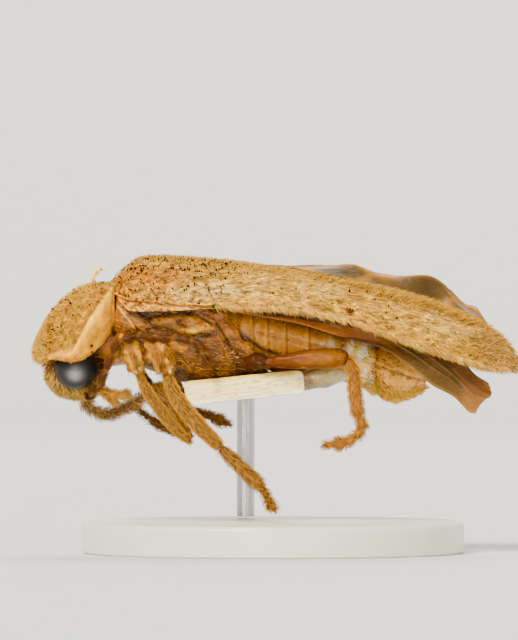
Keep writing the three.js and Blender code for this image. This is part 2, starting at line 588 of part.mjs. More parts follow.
for (const [name, leg] of Object.entries(LEGS)) {
  const { thigh, shin, foot: sole } = leg.size;
  const shapes = {
    coxa: (grow) => legPiece(leg.coxa, [leg.hip * 0.9, leg.hip, leg.hip * 0.62], 6, grow),
    femur: (grow) => legPiece(leg.femur, [thigh * 0.8, thigh * 1.05, thigh, thigh * 0.8], 8, grow),
    tibia: (grow) => legPiece(leg.tibia, [shin * 0.75, shin * 0.92, shin, shin * 1.1], 7, grow),
    tarsus: (grow) => foot(leg.tarsus, sole, grow),
  };
  const order = ["coxa", "femur", "tibia", "tarsus"];
  order.forEach((piece, i) => {
    const cutters = [cardGrown, ...trunkGrown, shieldGrown];
    if (i) cutters.push(shapes[order[i - 1]](GAP));
    if (piece === "tarsus" && name === "fore_left") cutters.push(shapes.femur(GAP));
    legSolids.push([`leg_${name}_${piece}`, carve(shapes[piece](0), ...cutters), shapes[piece](GAP)]);
  });
}

// Feelers: eleven joints each, in three lengths
const FEELERS = {
  left: {
    half: 0.031,
    path: [[0.57, -0.27, 1.27], [0.62, -0.45, 1.3], [0.69, -0.6, 1.38], [0.78, -0.7, 1.55], [0.85, -0.76, 1.74],
      [0.92, -0.8, 1.86], [1.04, -0.82, 1.93], [1.2, -0.84, 1.95], [1.46, -0.86, 1.92], [1.68, -0.87, 1.9],
      [1.79, -0.87, 1.86], [1.84, -0.86, 1.76], [1.9, -0.84, 1.61]],
  },
  right: {
    half: 0.042,
    path: [[0.53, -0.04, 1.25], [0.57, 0.0, 1.18], [0.64, 0.02, 1.11], [0.76, 0.03, 1.08], [0.9, -0.02, 1.11],
      [1.03, -0.04, 1.17], [1.14, -0.04, 1.23], [1.26, -0.02, 1.31], [1.4, 0, 1.37]],
  },
};
const JOINTS = 11;
const LENGTHS = { base: [0, 2], middle: [2, 7], end: [7, JOINTS] };
const feelerSolids = [];
for (const [side, { half, path }] of Object.entries(FEELERS)) {
  const length = pathLength(path);
  for (const [part, [first, past]] of Object.entries(LENGTHS)) {
    const from = first / JOINTS + (first ? GAP / 2 / length : 0);
    const to = past / JOINTS - (past < JOINTS ? GAP / 2 / length : 0);
    const sizes = Array.from({ length: past - first }, (_, i) => half * (first + i === 1 ? 0.8 : 1) *
      (first + i === 0 ? 1.15 : 1));
    const stations = jointed(sizes, { from, to });
    const feeler = limb(path, stations, { sides: 7 });
    feelerSolids.push([`antenna_${side}_${part}`, carve(feeler, headGrown, ...trunkGrown)]);
  }
}

// Mouth feelers: the upper pair ends in a broad last joint, the lower pair is short
const PALPS = {
  maxillary: { half: 0.036, path: [[0.68, 0.1, 1.36], [0.8, 0.14, 1.33], [0.92, 0.13, 1.29], [1.02, 0.11, 1.3]] },
  labial: { half: 0.026, path: [[0.7, 0.04, 1.33], [0.78, 0.05, 1.28], [0.88, 0.05, 1.22]] },
};
const palpSolids = [];
for (const [name, { half, path }] of Object.entries(PALPS))
  for (const [side, sign] of [["left", -1], ["right", 1]]) {
    const placed = path.map(([x, y, z]) => [x, HEAD_MIDDLE + sign * y, z]);
    const palp = limb(placed, jointed([0.7, 0.85, 1.15].map((share) => share * half)), { sides: 6 });
    palpSolids.push([`palp_${name}_${side}`, carve(palp, headGrown, ...trunkGrown)]);
  }

// Glue: a clear drop that ran out from between the card and the belly, round the hind thigh
function glueDrop() {
  const drop = new THREE.SphereGeometry(1, 18, 12);
  drop.scale(0.35, 0.33, 0.14);
  drop.rotateY(-0.2);
  drop.translate(3.12, -0.34, 1.51);
  return solidFrom(drop);
}
const legsGrown = legSolids.filter(([name]) => name.startsWith("leg_hind_left")).map((leg) => leg[2]);
const glue = carve(glueDrop(), cardGrown, ...trunkGrown, ...legsGrown);

// Stand: a round base and one steel rod up to the card, away from the legs
function turned(profile, sides) {
  const lathe = new THREE.LatheGeometry(profile.map(([r, z]) => new THREE.Vector2(r, z)), sides);
  lathe.rotateX(Math.PI / 2);
  return lathe;
}
const baseRim = BASE.radius - BASE.edge;
const baseShape = turned([[0, 0], [BASE.radius, 0], [BASE.radius, BASE.height - BASE.edge],
  [baseRim, BASE.height], [0, BASE.height]], 48);
const rodShape = turned([[0, 0], [ROD_RADIUS, 0], [ROD_RADIUS, 1.6], [0, 1.6]], 16);
rodShape.translate(2.3, 1.5, GAP - CLAW_CLEARANCE);

const stand = new THREE.Group();
add("stand_base", solidFrom(baseShape), LOOKS.base(), stand);
add("stand_rod", carve(solidFrom(rodShape), cardGrown), LOOKS.steel());
add("card", cardStrip(), LOOKS.card());
add("glue", glue, LOOKS.glue());
add("head", headSolid, LOOKS.brown());
add("eye_left", eye(-1), LOOKS.eye());
add("eye_right", eye(1), LOOKS.eye());
add("pronotum", shieldSolid, LOOKS.ochre());
add("prothorax", prothorax, LOOKS.ochre());
add("mesothorax", mesothorax, LOOKS.orange());
add("scutellum", scutellum, LOOKS.ochre());
add("metathorax", metathorax, LOOKS.brown());
add("abdomen", abdomen, LOOKS.orange());
add("elytron_left", wingCase("left"), LOOKS.ochre());
add("elytron_right", wingCase("right"), LOOKS.ochre());
add("hindwing_left", leftWing(), LOOKS.membrane());
add("hindwing_right", rightWing(), LOOKS.membrane());
for (const [name, solid] of legSolids) add(name, solid, LOOKS.orange());
for (const [name, solid] of feelerSolids) add(name, solid, LOOKS.purple());
for (const [name, solid] of palpSolids) add(name, solid, LOOKS.orange());

const group = new THREE.Group();
group.add(stand, insect);

export default group;
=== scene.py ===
# %% [markdown]
# # A small firefly on its strip of card
#
# The real thing is a dried beetle, 5.2 mm long, glued by its belly to a strip of card. Seen this close it is
# three kinds of surface: hard plates with a fine grain, thin smoky membranes, and a coat of pale hairs.
# This lesson builds each of them in mesh code, life size, over a frame of plain solids that is loaded first.
# Every size is written in millimetres and turned into metres in one place.

# %% Load the frame
import math

import bpy
import numpy as np
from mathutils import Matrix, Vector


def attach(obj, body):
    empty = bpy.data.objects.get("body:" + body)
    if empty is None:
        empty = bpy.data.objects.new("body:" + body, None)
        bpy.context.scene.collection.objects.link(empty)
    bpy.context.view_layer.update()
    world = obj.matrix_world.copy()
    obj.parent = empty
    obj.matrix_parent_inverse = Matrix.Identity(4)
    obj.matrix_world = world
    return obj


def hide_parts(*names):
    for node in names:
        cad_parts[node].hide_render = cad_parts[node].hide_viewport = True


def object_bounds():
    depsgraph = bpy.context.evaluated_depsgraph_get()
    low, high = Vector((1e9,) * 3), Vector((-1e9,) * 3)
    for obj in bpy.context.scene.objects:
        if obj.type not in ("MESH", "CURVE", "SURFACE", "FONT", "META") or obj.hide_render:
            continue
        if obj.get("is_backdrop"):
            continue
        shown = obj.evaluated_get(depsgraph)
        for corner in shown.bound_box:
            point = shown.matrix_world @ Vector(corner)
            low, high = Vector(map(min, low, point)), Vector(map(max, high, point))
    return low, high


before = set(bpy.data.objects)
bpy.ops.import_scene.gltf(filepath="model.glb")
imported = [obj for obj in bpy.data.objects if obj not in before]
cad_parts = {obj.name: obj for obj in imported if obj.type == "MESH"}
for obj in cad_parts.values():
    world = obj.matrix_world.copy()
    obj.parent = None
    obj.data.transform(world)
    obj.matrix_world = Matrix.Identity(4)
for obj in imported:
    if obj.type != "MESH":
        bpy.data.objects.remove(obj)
solid_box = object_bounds()
print("frame nodes:", len(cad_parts))

# %% [markdown]
# ## One place for all the sizes
#
# The insect is measured as places of three numbers: along from the front lip of the pronotum, across from
# the middle of the body, and up from the lowest claw. One shift carries them to the frame, and one factor
# turns millimetres into metres. The shift could be typed into every point, but then a mistake would hide.

# %% Places and smooth profiles
MM = 0.001
FULL_TURN = 2 * np.pi
SHIFT = np.array([-2.605, -0.3, 0.45])


def in_metres(places):
    return (np.asarray(places, float) + SHIFT) * MM


def run(*knots):
    """A smooth profile through pairs of place and size, level beyond its ends."""
    x, y = np.array(knots, float).T
    last = len(x) - 1
    before = np.maximum(np.arange(len(x)) - 1, 0)
    after = np.minimum(np.arange(len(x)) + 1, last)
    slope = (y[after] - y[before]) / (x[after] - x[before])

    def size(place):
        place = np.asarray(place, float)
        i = np.clip(np.searchsorted(x, place, side="left") - 1, 0, last - 1)
        w = x[i + 1] - x[i]
        t = np.clip((place - x[i]) / w, 0, 1)
        rise = y[i] + (y[i + 1] - y[i]) * t * t * (3 - 2 * t)
        return rise + slope[i] * w * t * (1 - t) ** 2 + slope[i + 1] * w * t * t * (t - 1)

    return size


print("a place at the front lip lies at", in_metres([0, 0, 0]).round(6))


# %% Helpers for points in rows
def side_view(grid):
    """Along and up, without the number across."""
    return np.stack([grid[..., 0], grid[..., 2]], axis=-1)


def three(grid):
    """The three coordinates of its points, apart."""
    return grid[..., 0], grid[..., 1], grid[..., 2]


def evenly(points, count):
    """Points spread evenly over a line of straight stretches, and its length."""
    gone = np.concatenate([[0], np.cumsum(np.linalg.norm(np.diff(points, axis=0), axis=1))])
    return at_places(points, gone, np.linspace(0, gone[-1], count)), gone[-1]


def unit(vectors, least=0.0):
    """Vectors made 1 long."""
    return vectors / np.maximum(np.linalg.norm(vectors, axis=-1, keepdims=True), least)


def at_places(values, known, wanted):
    """Values between known places, each column by itself."""
    return np.stack([np.interp(wanted, known, column) for column in values.T], axis=-1)


def steps(rows, columns, row_span=(0, 1), column_span=(0, 1)):
    """Two grids of numbers: one grows from row to row, the other along each row."""
    down, along = np.linspace(*row_span, rows + 1), np.linspace(*column_span, columns + 1)
    return np.meshgrid(down, along, indexing="ij")


def ball_steps(rows, sides, inset):
    """The angle from pole to pole and the angle around, for a ball with a small opening at each pole."""
    return steps(rows, sides, (inset, np.pi - inset), (0, FULL_TURN))


def tipped(places, angle):
    """Places turned about the line across the body, so that what points to the tail goes up."""
    c, s = math.cos(angle), math.sin(angle)
    return places @ np.array([[c, 0, -s], [0, 1, 0], [s, 0, c]]).T


print("the tail's way, tipped by a quarter turn:", tipped(np.array([1.0, 0, 0]), np.pi / 2).round(3))

# %% [markdown]
# ## Colours that follow the shape
#
# A beetle's colour changes from plate to plate and fades along the rims, so a colour is worked out for each
# point of a mesh by rules: near this line, inside this plate, in blotches of that size. It is kept on the
# mesh as a colour attribute called tone. The hairs take the tone of the skin they stand on, so both match.
# Painting by nodes alone would also work, but rules written once in code serve skin and hairs alike.

# %% Colours
DEEPER = np.array([1.0, 1.25, 2.0])


def shade(red, green, blue):
    """A colour as an eye reads it, 0 to 255, as the linear value that a shader wants.
    It is deepened, as soft light and the film curve wash colours out, blue most. Greys stay as they are."""
    c = np.array([red, green, blue]) / 255
    linear = np.where(c <= 0.04045, c / 12.92, ((c + 0.055) / 1.055) ** 2.4)
    return linear.max() * (linear / max(linear.max(), 1e-6)) ** DEEPER


def one_colour(grid, red, green, blue):
    return np.broadcast_to(shade(red, green, blue), grid.shape).copy()


def tint(tone, mask, colour):
    m = np.clip(mask, 0, 1)[..., None]
    return tone * (1 - m) + np.asarray(colour) * m


def glaze(tone, layers):
    """Thin coats of paint, one over the other: each layer is a mask and a colour."""
    for mask, colour in layers:
        tone = tint(tone, mask, shade(*colour))
    return tone


def relief_shade_and_mottle(tone, relief, depth, strength=0.6):
    """Darker where the relief is low and lighter where it is high. On the skin's own dents and rises this is
    painted shade in the hollows and painted light on the rises; on a plain noise it is only mottling.
    """
    light = 1 + strength * np.clip(relief / depth, -1, 0.7)
    return tone * light[..., None]


print("ochre as a shader sees it:", shade(190, 150, 90).round(3))


# %% Patterns and masks
HASH = (73856093, 19349663, 83492791, 961748941)  # large primes that scramble the number of a cell


def blotches(places, size, seed):
    """Smooth random values from 0 to 1 in blotches of about one size, in mm or one size per axis."""
    q = places / np.asarray(size, float) + seed * 7.31
    cell = np.floor(q).astype(np.int64)
    t = q - cell
    t = t * t * (3 - 2 * t)
    total = np.zeros(places.shape[:-1])
    for corner in np.ndindex(2, 2, 2):
        c = cell + corner
        h = (c[..., 0] * HASH[0]) ^ (c[..., 1] * HASH[1]) ^ (c[..., 2] * HASH[2]) ^ (seed * HASH[3])
        h = ((h ^ (h >> 13)) * 1274126177) & 0x7FFFFFFF
        h = (h ^ (h >> 15)) & 0xFFFF
        total += np.prod(np.where(np.array(corner) == 1, t, 1 - t), axis=-1) * h / 65535
    return total


def mottle(places, size, seed, middle=0.5):
    """The same values, set around 0."""
    return blotches(places, size, seed) - middle


def rises(value, start, width):
    """0 up to a place, then up to 1 within a width."""
    return np.clip((value - start) / width, 0, 1)


def falls(value, end, width):
    """1 at first, then down to 0 within a width, at a place."""
    return np.clip((end - value) / width, 0, 1)


def band(value, place, width):
    """1 at a place, fading on both sides of it like a bell."""
    return np.exp(-(((value - place) / width) ** 2))


def patch(x, place, wide, v, level, tall):
    """A soft patch: a band in two directions at once."""
    return np.exp(-(((x - place) / wide) ** 2 + ((v - level) / tall) ** 2))


print("a band half its width away from its place:", band(0.5, 0, 1).round(3))


# %% Lines and plates as masks
def reach(flat, line):
    """Distance from points of two numbers to a line of straight stretches."""
    best = np.full(flat.shape[:-1], 1e9)
    for a, b in zip(np.array(line, float)[:-1], np.array(line, float)[1:]):
        way = b - a
        t = np.clip(((flat - a) @ way) / (way @ way), 0, 1)
        best = np.minimum(best, np.linalg.norm(flat - a - t[..., None] * way, axis=-1))
    return best


def close_to(flat, line, width):
    return np.exp(-((reach(flat, line) / width) ** 2))


def inside(flat, corners, soft):
    """1 inside a plate given by its corners, 0 outside it, with a soft edge."""
    odd = np.zeros(flat.shape[:-1], bool)
    ring = list(corners) + [corners[0]]
    for (ax, ay), (bx, by) in zip(ring[:-1], ring[1:]):
        if ay == by:
            continue
        cross = (flat[..., 1] > min(ay, by)) & (flat[..., 1] <= max(ay, by))
        odd ^= cross & (flat[..., 0] < ax + (flat[..., 1] - ay) * (bx - ax) / (by - ay))
    away = reach(flat, ring) * np.where(odd, 1, -1)
    return np.clip(0.5 + away / soft, 0, 1)


print("blotches of two seeds at one place:", [round(float(blotches(np.zeros(3), 1, n)), 3) for n in (1, 2)])

# %% [markdown]
# ## Skins made of grids
#
# Each hard part is a grid of points bent into shape, as a potter bends a slab. A closed ring of columns
# makes a limb or a body ring, an open grid makes a wing. The grid is kept, because it also says how to lay
# the skin out flat: row and column are the place on the unwrap that the hairs are given later.

# %% Grids, normals and objects
def facing(grid, wrap):
    """Unit normals of a grid of points, worked out from its neighbours."""
    along = np.gradient(grid, axis=0)
    if wrap:
        ring = grid[:, :-1]
        around = np.roll(ring, -1, axis=1) - np.roll(ring, 1, axis=1)
        around = np.concatenate([around, around[:, :1]], axis=1)
    else:
        around = np.gradient(grid, axis=1)
    return unit(np.cross(around, along), 1e-12)


def outward(grid):
    """Normals that point away from the middle of a closed skin."""
    out = facing(grid, True)
    middle = grid.mean(axis=1, keepdims=True)
    return out * np.sign(np.sum(out * (grid - middle)))


def upward(grid):
    """Normals of an open sheet, turned so that most of them look up."""
    out = facing(grid, False)
    return out * np.sign(out[..., 2].mean())


def push_out(grid, amount):
    """A closed skin with each point moved outwards."""
    return grid + outward(grid) * amount[..., None]


def cells(rows, columns, start=0, flip=False):
    """Quads of an open grid."""
    i, j = np.meshgrid(np.arange(rows), np.arange(columns), indexing="ij")
    a = start + i * (columns + 1) + j
    quads = np.stack([a, a + 1, a + columns + 2, a + columns + 1], axis=-1).reshape(-1, 4)
    return quads[:, ::-1] if flip else quads


def ring_cells(rows, sides, start=0):
    """Quads of a closed ring of columns, where the last column joins the first."""
    i, j = np.meshgrid(np.arange(rows), np.arange(sides), indexing="ij")
    k = (j + 1) % sides
    quads = np.stack([i * sides + j, i * sides + k, (i + 1) * sides + k, (i + 1) * sides + j], axis=-1)
    return (quads.reshape(-1, 4) + start).tolist()


print("quads of a small open grid:", cells(1, 2).tolist())


# %% Mesh objects
def smooth_object(name, places, faces, material):
    """A smooth shaded mesh object from places in metres."""
    mesh = bpy.data.meshes.new(name)
    mesh.from_pydata(places, [], faces)
    mesh.polygons.foreach_set("use_smooth", np.ones(len(mesh.polygons), bool))
    mesh.update()
    mesh.materials.append(material)
    thing = bpy.data.objects.new(name, mesh)
    bpy.context.scene.collection.objects.link(thing)
    return thing


def add_piece(name, places, faces, material, tone):
    """A piece of the insect or its mount, with its tone, that rides on the root of the frame."""
    piece = smooth_object(name, in_metres(places), faces, material)
    layer = piece.data.color_attributes.new(name="tone", type="FLOAT_COLOR", domain="POINT")
    rgba = np.ones((len(places), 4), np.float32)
    rgba[:, :3] = np.clip(tone, 0, 1)
    layer.data.foreach_set("color", rgba.ravel())
    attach(piece, "root")
    return piece


print("shapes are given in mm, and meshes in metres, by a factor of", MM)


# %% Closed skins and thin plates
def ring_skin(name, grid, material, tone):
    """A closed skin from rings of points, with both ends shut by a fan."""
    rows, sides = grid.shape[0] - 1, grid.shape[1] - 1
    places, tones = (np.concatenate([values[:, :-1].reshape(-1, 3), values[[0, -1], :-1].mean(axis=1)])
                     for values in (grid, tone))
    first, last = len(places) - 2, len(places) - 1
    fans = [[first, (j + 1) % sides, j] for j in range(sides)]
    fans += [[last, rows * sides + j, rows * sides + (j + 1) % sides] for j in range(sides)]
    faces = ring_cells(rows, sides) + fans
    a, b, c = (places[faces[0][n]] for n in (0, 1, 2))
    centre = grid[:2].reshape(-1, 3).mean(axis=0)
    if np.cross(b - a, c - a) @ (a - centre) < 0:
        faces = [f[::-1] for f in faces]
    return add_piece(name, places, faces, material, tones)


def plate_skin(name, upper, lower, material, tone_up, tone_low):
    """A thin plate from two grids of points, joined along the rim."""
    rows, columns = upper.shape[0] - 1, upper.shape[1] - 1
    count = upper.shape[0] * upper.shape[1]
    places = np.concatenate([upper.reshape(-1, 3), lower.reshape(-1, 3)])
    tones = np.concatenate([tone_up.reshape(-1, 3), tone_low.reshape(-1, 3)])
    number = np.arange(count).reshape(rows + 1, columns + 1)
    rim = [*number[0, :-1], *number[:-1, -1], *number[-1, :0:-1], *number[:0:-1, 0]]
    sides = [[a, b, b + count, a + count] for a, b in zip(rim, rim[1:] + rim[:1])]
    out = np.cross(upper[0, 1] - upper[0, 0], upper[1, 0] - upper[0, 0]) @ (upper[0, 0] - lower[0, 0])
    quads = np.concatenate([cells(rows, columns), cells(rows, columns, count, flip=True)]).tolist()
    faces = quads + [s[::-1] for s in sides]
    if out < 0:
        faces = [f[::-1] for f in faces]
    return add_piece(name, places, faces, material, tones)


def as_skin(grid, tone, **more):
    """What the hairs need to know of a closed skin."""
    return {"grid": grid, "out": outward(grid), "tone": tone, **more}


print("helpers for closed skins and thin plates are ready")

# %% [markdown]
# ## Finishes
#
# Every finish here is the same few layers: the tone of the skin, broken up by a fine grain and by wider
# clouds, and a bump that stands for pits and creases too small to model. What changes from wing case to leg
# is how coarse the grain is, how strong the bump and how wet the shine, so one helper makes them all. The
# grain is measured on the object's own coordinates, turned back into millimetres, so it keeps its size.

# %% Helpers for nodes
METRES_TO_MM = 1000
NOISE_LOW, NOISE_HIGH = 0.3, 0.7  # nearly all values of a noise texture lie between these


def add_node(tree, kind, inputs=None, **settings):
    """A new shader node. Each input is a value for its socket, or another node's output to link to it."""
    node = tree.nodes.new("ShaderNode" + kind)
    for setting, value in settings.items():
        setattr(node, setting, value)
    fill_inputs(tree, node, inputs or {})
    return node


def fill_inputs(tree, node, inputs):
    for socket, value in inputs.items():
        if isinstance(value, bpy.types.NodeSocket):
            tree.links.new(value, node.inputs[socket])
        else:
            node.inputs[socket].default_value = value


def new_material(name):
    material = bpy.data.materials.new(name)
    material.use_nodes = True
    return material, material.node_tree, material.node_tree.nodes["Principled BSDF"]


def noise_range(tree, noise, low, high):
    """A noise spread out to run from low to high."""
    node = add_node(tree, "MapRange", {"Value": noise.outputs["Fac"], "From Min": NOISE_LOW,
                                       "From Max": NOISE_HIGH, "To Min": low, "To Max": high})
    return node.outputs["Result"]


print("a noise is spread from", NOISE_LOW, "and", NOISE_HIGH)

# %% The layers that every finish shares
CLOUDS_PER_MM = 4
ROUGH_SPREAD = 0.12
COAT_ROUGHNESS = 0.25
FLESH_RADIUS, FLESH_SCALE = (1.0, 0.55, 0.25), 0.03 * MM  # light creeps into soft skin, red the furthest


def finish(name, rough, grain=0.012, depth=0.25, bump=0.3, stretch=(1, 1, 1), coat=0.0,
           clear=0.0, glow=0.0, plain=None, clouds=0.15, specular=0.5):
    """Grain is the size of the grain in mm. Its depth and the clouds say how much they change the colour."""
    material, tree, shader = new_material(name)
    where = add_node(tree, "TexCoord")
    scale = [METRES_TO_MM * share for share in stretch]
    size = add_node(tree, "Mapping", {"Vector": where.outputs["Object"], "Scale": scale})
    fine = add_node(tree, "TexNoise", {"Vector": size.outputs["Vector"], "Scale": 1 / grain, "Detail": 3})
    wide = add_node(tree, "TexNoise", {"Vector": size.outputs["Vector"], "Scale": CLOUDS_PER_MM})
    if plain is None:
        base = add_node(tree, "Attribute", attribute_name="tone")
    else:
        base = add_node(tree, "RGB")
        base.outputs["Color"].default_value = (*plain, 1)
    grains = noise_range(tree, fine, 1 - depth, 1 + depth * 0.6)
    cloudy = noise_range(tree, wide, 1 - clouds, 1 + clouds)
    light = add_node(tree, "Math", {0: grains, 1: cloudy}, operation="MULTIPLY")
    mixed = add_node(tree, "VectorMath", {0: base.outputs["Color"], "Scale": light.outputs["Value"]},
                     operation="SCALE")
    worn = add_node(tree, "MapRange", {"Value": fine.outputs["Fac"], "To Min": rough - ROUGH_SPREAD,
                                       "To Max": rough + ROUGH_SPREAD})
    fill_inputs(tree, shader, {
        "Base Color": mixed.outputs["Vector"], "Roughness": worn.outputs["Result"],
        "Coat Weight": coat, "Coat Roughness": COAT_ROUGHNESS, "Specular IOR Level": specular,
        "Transmission Weight": clear, "Subsurface Weight": glow, "Subsurface Radius": FLESH_RADIUS,
        "Subsurface Scale": FLESH_SCALE,
    })
    if bump:
        raised = add_node(tree, "Bump", {"Height": fine.outputs["Fac"], "Strength": bump,
                                         "Distance": grain * MM * 0.5})
        fill_inputs(tree, shader, {"Normal": raised.outputs["Normal"]})
    return material


print("clouds for each mm:", CLOUDS_PER_MM)

# %% [markdown]
# ## The finishes of the insect
#
# A wing case is dry and matt, with a grain drawn out along it. The pronotum and the belly are smoother and
# let a little light in, as thin horn does. The body plates are coarse, the legs dark and slightly waxy, and
# the hind thigh is amber with long soft stains. A hind wing is a smoky film with a faint gloss, and a hair is
# plain and silky. Photographs could be wrapped round each piece, but a few numbers fit every size of piece.

# %% Finishes of skins, wings and hairs
wing_case_finish = finish("wing case", 0.5, grain=0.02, depth=0.45, bump=0.9, stretch=(0.45, 1, 1),
                          clouds=0.1, specular=0.14)
shield_finish = finish("pronotum", 0.36, grain=0.02, depth=0.22, bump=0.6, clouds=0.14, glow=0.12,
                       specular=0.1)
body_finish = finish("body plates", 0.32, grain=0.03, depth=0.4, bump=1.0, clouds=0.25, specular=0.25)
belly_finish = finish("abdomen", 0.36, grain=0.025, depth=0.22, bump=0.5, clouds=0.15, glow=0.15,
                      specular=0.25)
head_finish = finish("head", 0.4, grain=0.015, depth=0.3, bump=0.6, clouds=0.15, specular=0.2)
leg_finish = finish("legs", 0.36, grain=0.018, depth=0.3, bump=0.7, clouds=0.2, glow=0.1, specular=0.12)
amber_finish = finish("hind femur", 0.34, grain=0.03, depth=0.2, bump=0.2, stretch=(0.3, 1, 1), clouds=0.3,
                      specular=0.08)
feeler_finish = finish("feelers", 0.5, grain=0.01, depth=0.35, bump=0.6, clouds=0.2, specular=0.25)
wing_finish = finish("hind wing", 0.36, grain=0.03, depth=0.2, bump=0.5, stretch=(0.5, 1, 1), clear=0.06,
                     clouds=0.15, specular=0.12)
hair_finish = finish("hair", 0.5, grain=0.05, depth=0.08, bump=0, clouds=0.05, specular=0.08)
print("finishes:", len(bpy.data.materials))

# %% [markdown]
# ## The wing cases
#
# A beetle's front wings are hard, arched cases. Each is a shell 0.05 mm thick, arched from the seam in the
# middle of the back down to a rim along the side. It could be sculpted from a ball, but the frame knows its
# profiles: the height of the back, the height of the rim, the seam and the side as seen from above. A fine
# grid over the same profiles stays exactly where the solid is, and leaves room for the raised rim,
# the band turned in below it, the shoulder bump and the faint ribs that the solid doesn't have.

# %% Profiles of the wing cases
WING_CASE = 0.05
CASE_TIP = {"left": 5.21, "right": 5.1}
case_top = run([0.82, 2.52], [1.02, 2.67], [1.21, 2.75], [1.61, 2.75], [2.46, 2.66], [3.11, 2.54],
               [3.62, 2.43], [4.21, 2.29], [4.8, 2.06], [5.06, 1.87], [5.21, 1.67])
case_low = run([0.87, 2.34], [0.97, 2.25], [1.06, 2.21], [1.26, 2.205], [1.61, 2.215], [2.0, 2.24],
               [2.3, 2.25], [2.63, 2.245], [3.03, 2.19], [3.42, 2.1], [3.81, 1.96], [4.21, 1.81], [4.6, 1.69],
               [4.89, 1.61], [5.21, 1.6])
case_seam = {
    "left": run([0.9, 0.02], [1.13, 0.03], [1.53, 0.07], [2.53, 0.03], [3.89, -0.07], [4.57, -0.16],
                [4.87, -0.24], [5.06, -0.34], [5.21, -0.5]),
    "right": run([0.9, 0.16], [1.09, 0.14], [1.44, 0.2], [1.89, 0.26], [2.73, 0.36], [3.31, 0.42],
                 [3.89, 0.5], [4.47, 0.55], [4.87, 0.57], [5.1, 0.62]),
}
case_side = {
    "left": run([0.84, -0.56], [0.91, -0.76], [1.08, -0.92], [1.25, -1.01], [1.53, -1.09], [1.89, -1.14],
                [2.53, -1.19], [3.89, -1.2], [4.29, -1.14], [4.57, -1.04], [4.87, -0.91], [5.1, -0.76],
                [5.21, -0.62]),
    "right": run([0.77, 0.6], [0.91, 0.79], [1.17, 0.9], [1.44, 0.98], [1.8, 1.07], [2.26, 1.16],
                 [3.19, 1.24], [3.89, 1.2], [4.29, 1.14], [4.57, 1.04], [4.87, 0.91], [5.05, 0.77],
                 [5.1, 0.7]),
}
case_root = {
    "left": run([0, 1.12], [0.3, 0.91], [0.6, 0.855], [0.85, 0.875], [0.93, 0.905], [1, 0.98]),
    "right": run([0, 1.1], [0.3, 0.88], [0.6, 0.8], [0.85, 0.82], [1, 0.95]),
}
case_fold = run([0.9, 0.85], [1.0, 0.867], [1.3, 0.912], [1.6, 0.942], [2.0, 0.97], [2.4, 0.98], [5.2, 0.98])
print("height of the back at 2 mm:", round(float(case_top(2)), 3))

# %% A wing case as a grid
CASE_ROWS, CASE_COLUMNS = 230, 84
CASE_ARCH = 2.4
CLOSER_AT_ENDS = 0.11


def case_grid(side):
    """The middle of the shell. u runs from root to tip, v from the seam down to the rim."""
    u, v = steps(CASE_ROWS, CASE_COLUMNS)
    u = u - CLOSER_AT_ENDS * np.sin(FULL_TURN * u)
    root = case_root[side](v)
    x = root + (CASE_TIP[side] - root) * u
    out = np.sin(v * np.pi / 2) ** (2 / CASE_ARCH)
    up = np.cos(v * np.pi / 2) ** (2 / CASE_ARCH)
    seam, rim = case_seam[side](x), case_side[side](x)
    low, high = case_low(x), case_top(x)
    return np.stack([x, seam + (rim - seam) * out, low + (high - low) * up], axis=-1), u, v


def case_detail(grid, u, v):
    """Raised seam and rim, a turned in band below the rim, a bulge at the shoulder, faint ribs and waves."""
    fold = case_fold(grid[..., 0])
    bead = 0.018 * band(v, fold, 0.012) + 0.008 * band(v, 0, 0.02)
    gutter = -0.012 * band(v, fold - 0.05, 0.025) - 0.03 * rises(v, fold + 0.01, 0.02)
    shoulder = 0.012 * patch(u, 0.08, 0.05, v, 0.62, 0.12)
    hollow = -0.012 * patch(u, 0.1, 0.07, v, 0.36, 0.1)
    ribs = sum(0.004 * band(v, place, 0.025) * np.sin(np.pi * u) for place in (0.2, 0.45, 0.68))
    waves = 0.01 * mottle(grid, (0.5, 0.25, 0.25), 3) + 0.004 * mottle(grid, 0.06, 4)
    return bead + gutter + shoulder + hollow + ribs + waves


print("a wing case has", CASE_ROWS * CASE_COLUMNS, "quads on each face")

# %% Colour of the wing cases
def case_tone(grid, u, v):
    x, fold = grid[..., 0], case_fold(grid[..., 0])
    tone = one_colour(grid, 200, 158, 98)
    wide, small = blotches(grid, 0.4, 11), blotches(grid, 0.09, 12)
    tone = glaze(tone, [
        (1.1 * (wide - 0.45), (176, 120, 56)),
        (1.0 * mottle(grid, (0.4, 0.2, 0.2), 16, 0.45), (228, 204, 158)),
        (0.85 * patch(x, 1.3, 0.34, v, 0.6, 0.2), (182, 120, 20)),
        (0.85 * band(u, 0, 0.07), (178, 112, 18)),
        (0.6 * patch(x, 2.0, 0.35, v, 0.8, 0.1), (226, 204, 164)),
        # painted sheen: the top of the back, by the seam, paler
        (0.5 * band(v, 0, 0.22), (214, 186, 136)),
        (0.55 * band(v, fold - 0.06, 0.05) * (x > 2.2), (216, 160, 84)),
        (0.85 * rises(v, fold, 0.02), (208, 154, 98)),
        (0.9 * band(v, fold, 0.012), (208, 146, 34)),
        # painted shadow: a dark thin line just under the raised rim
        (0.9 * band(v - fold, 0.02, 0.008) * (x < 2.4), (120, 66, 18)),
        (0.6 * rises(x, 4.75, 0.2), (176, 116, 72)),
        (0.7 * patch(x, 5.0, 0.16, v, 0.6, 0.3), (128, 78, 52)),
        (0.8 * (small - 0.4), (158, 104, 56)),
    ])
    pits = (blotches(grid, 0.035, 13) > 0.76) * np.clip(1.4 - 0.3 * x, 0.2, 1)
    tone = tint(tone, 0.8 * pits, shade(104, 58, 22))
    from_stain = ((x - 3.42) / 0.05) ** 2 + ((grid[..., 2] - 2.2) / 0.036) ** 2
    return tint(tone, np.exp(-(from_stain**2)) * (grid[..., 1] < -0.4), shade(56, 14, 4))


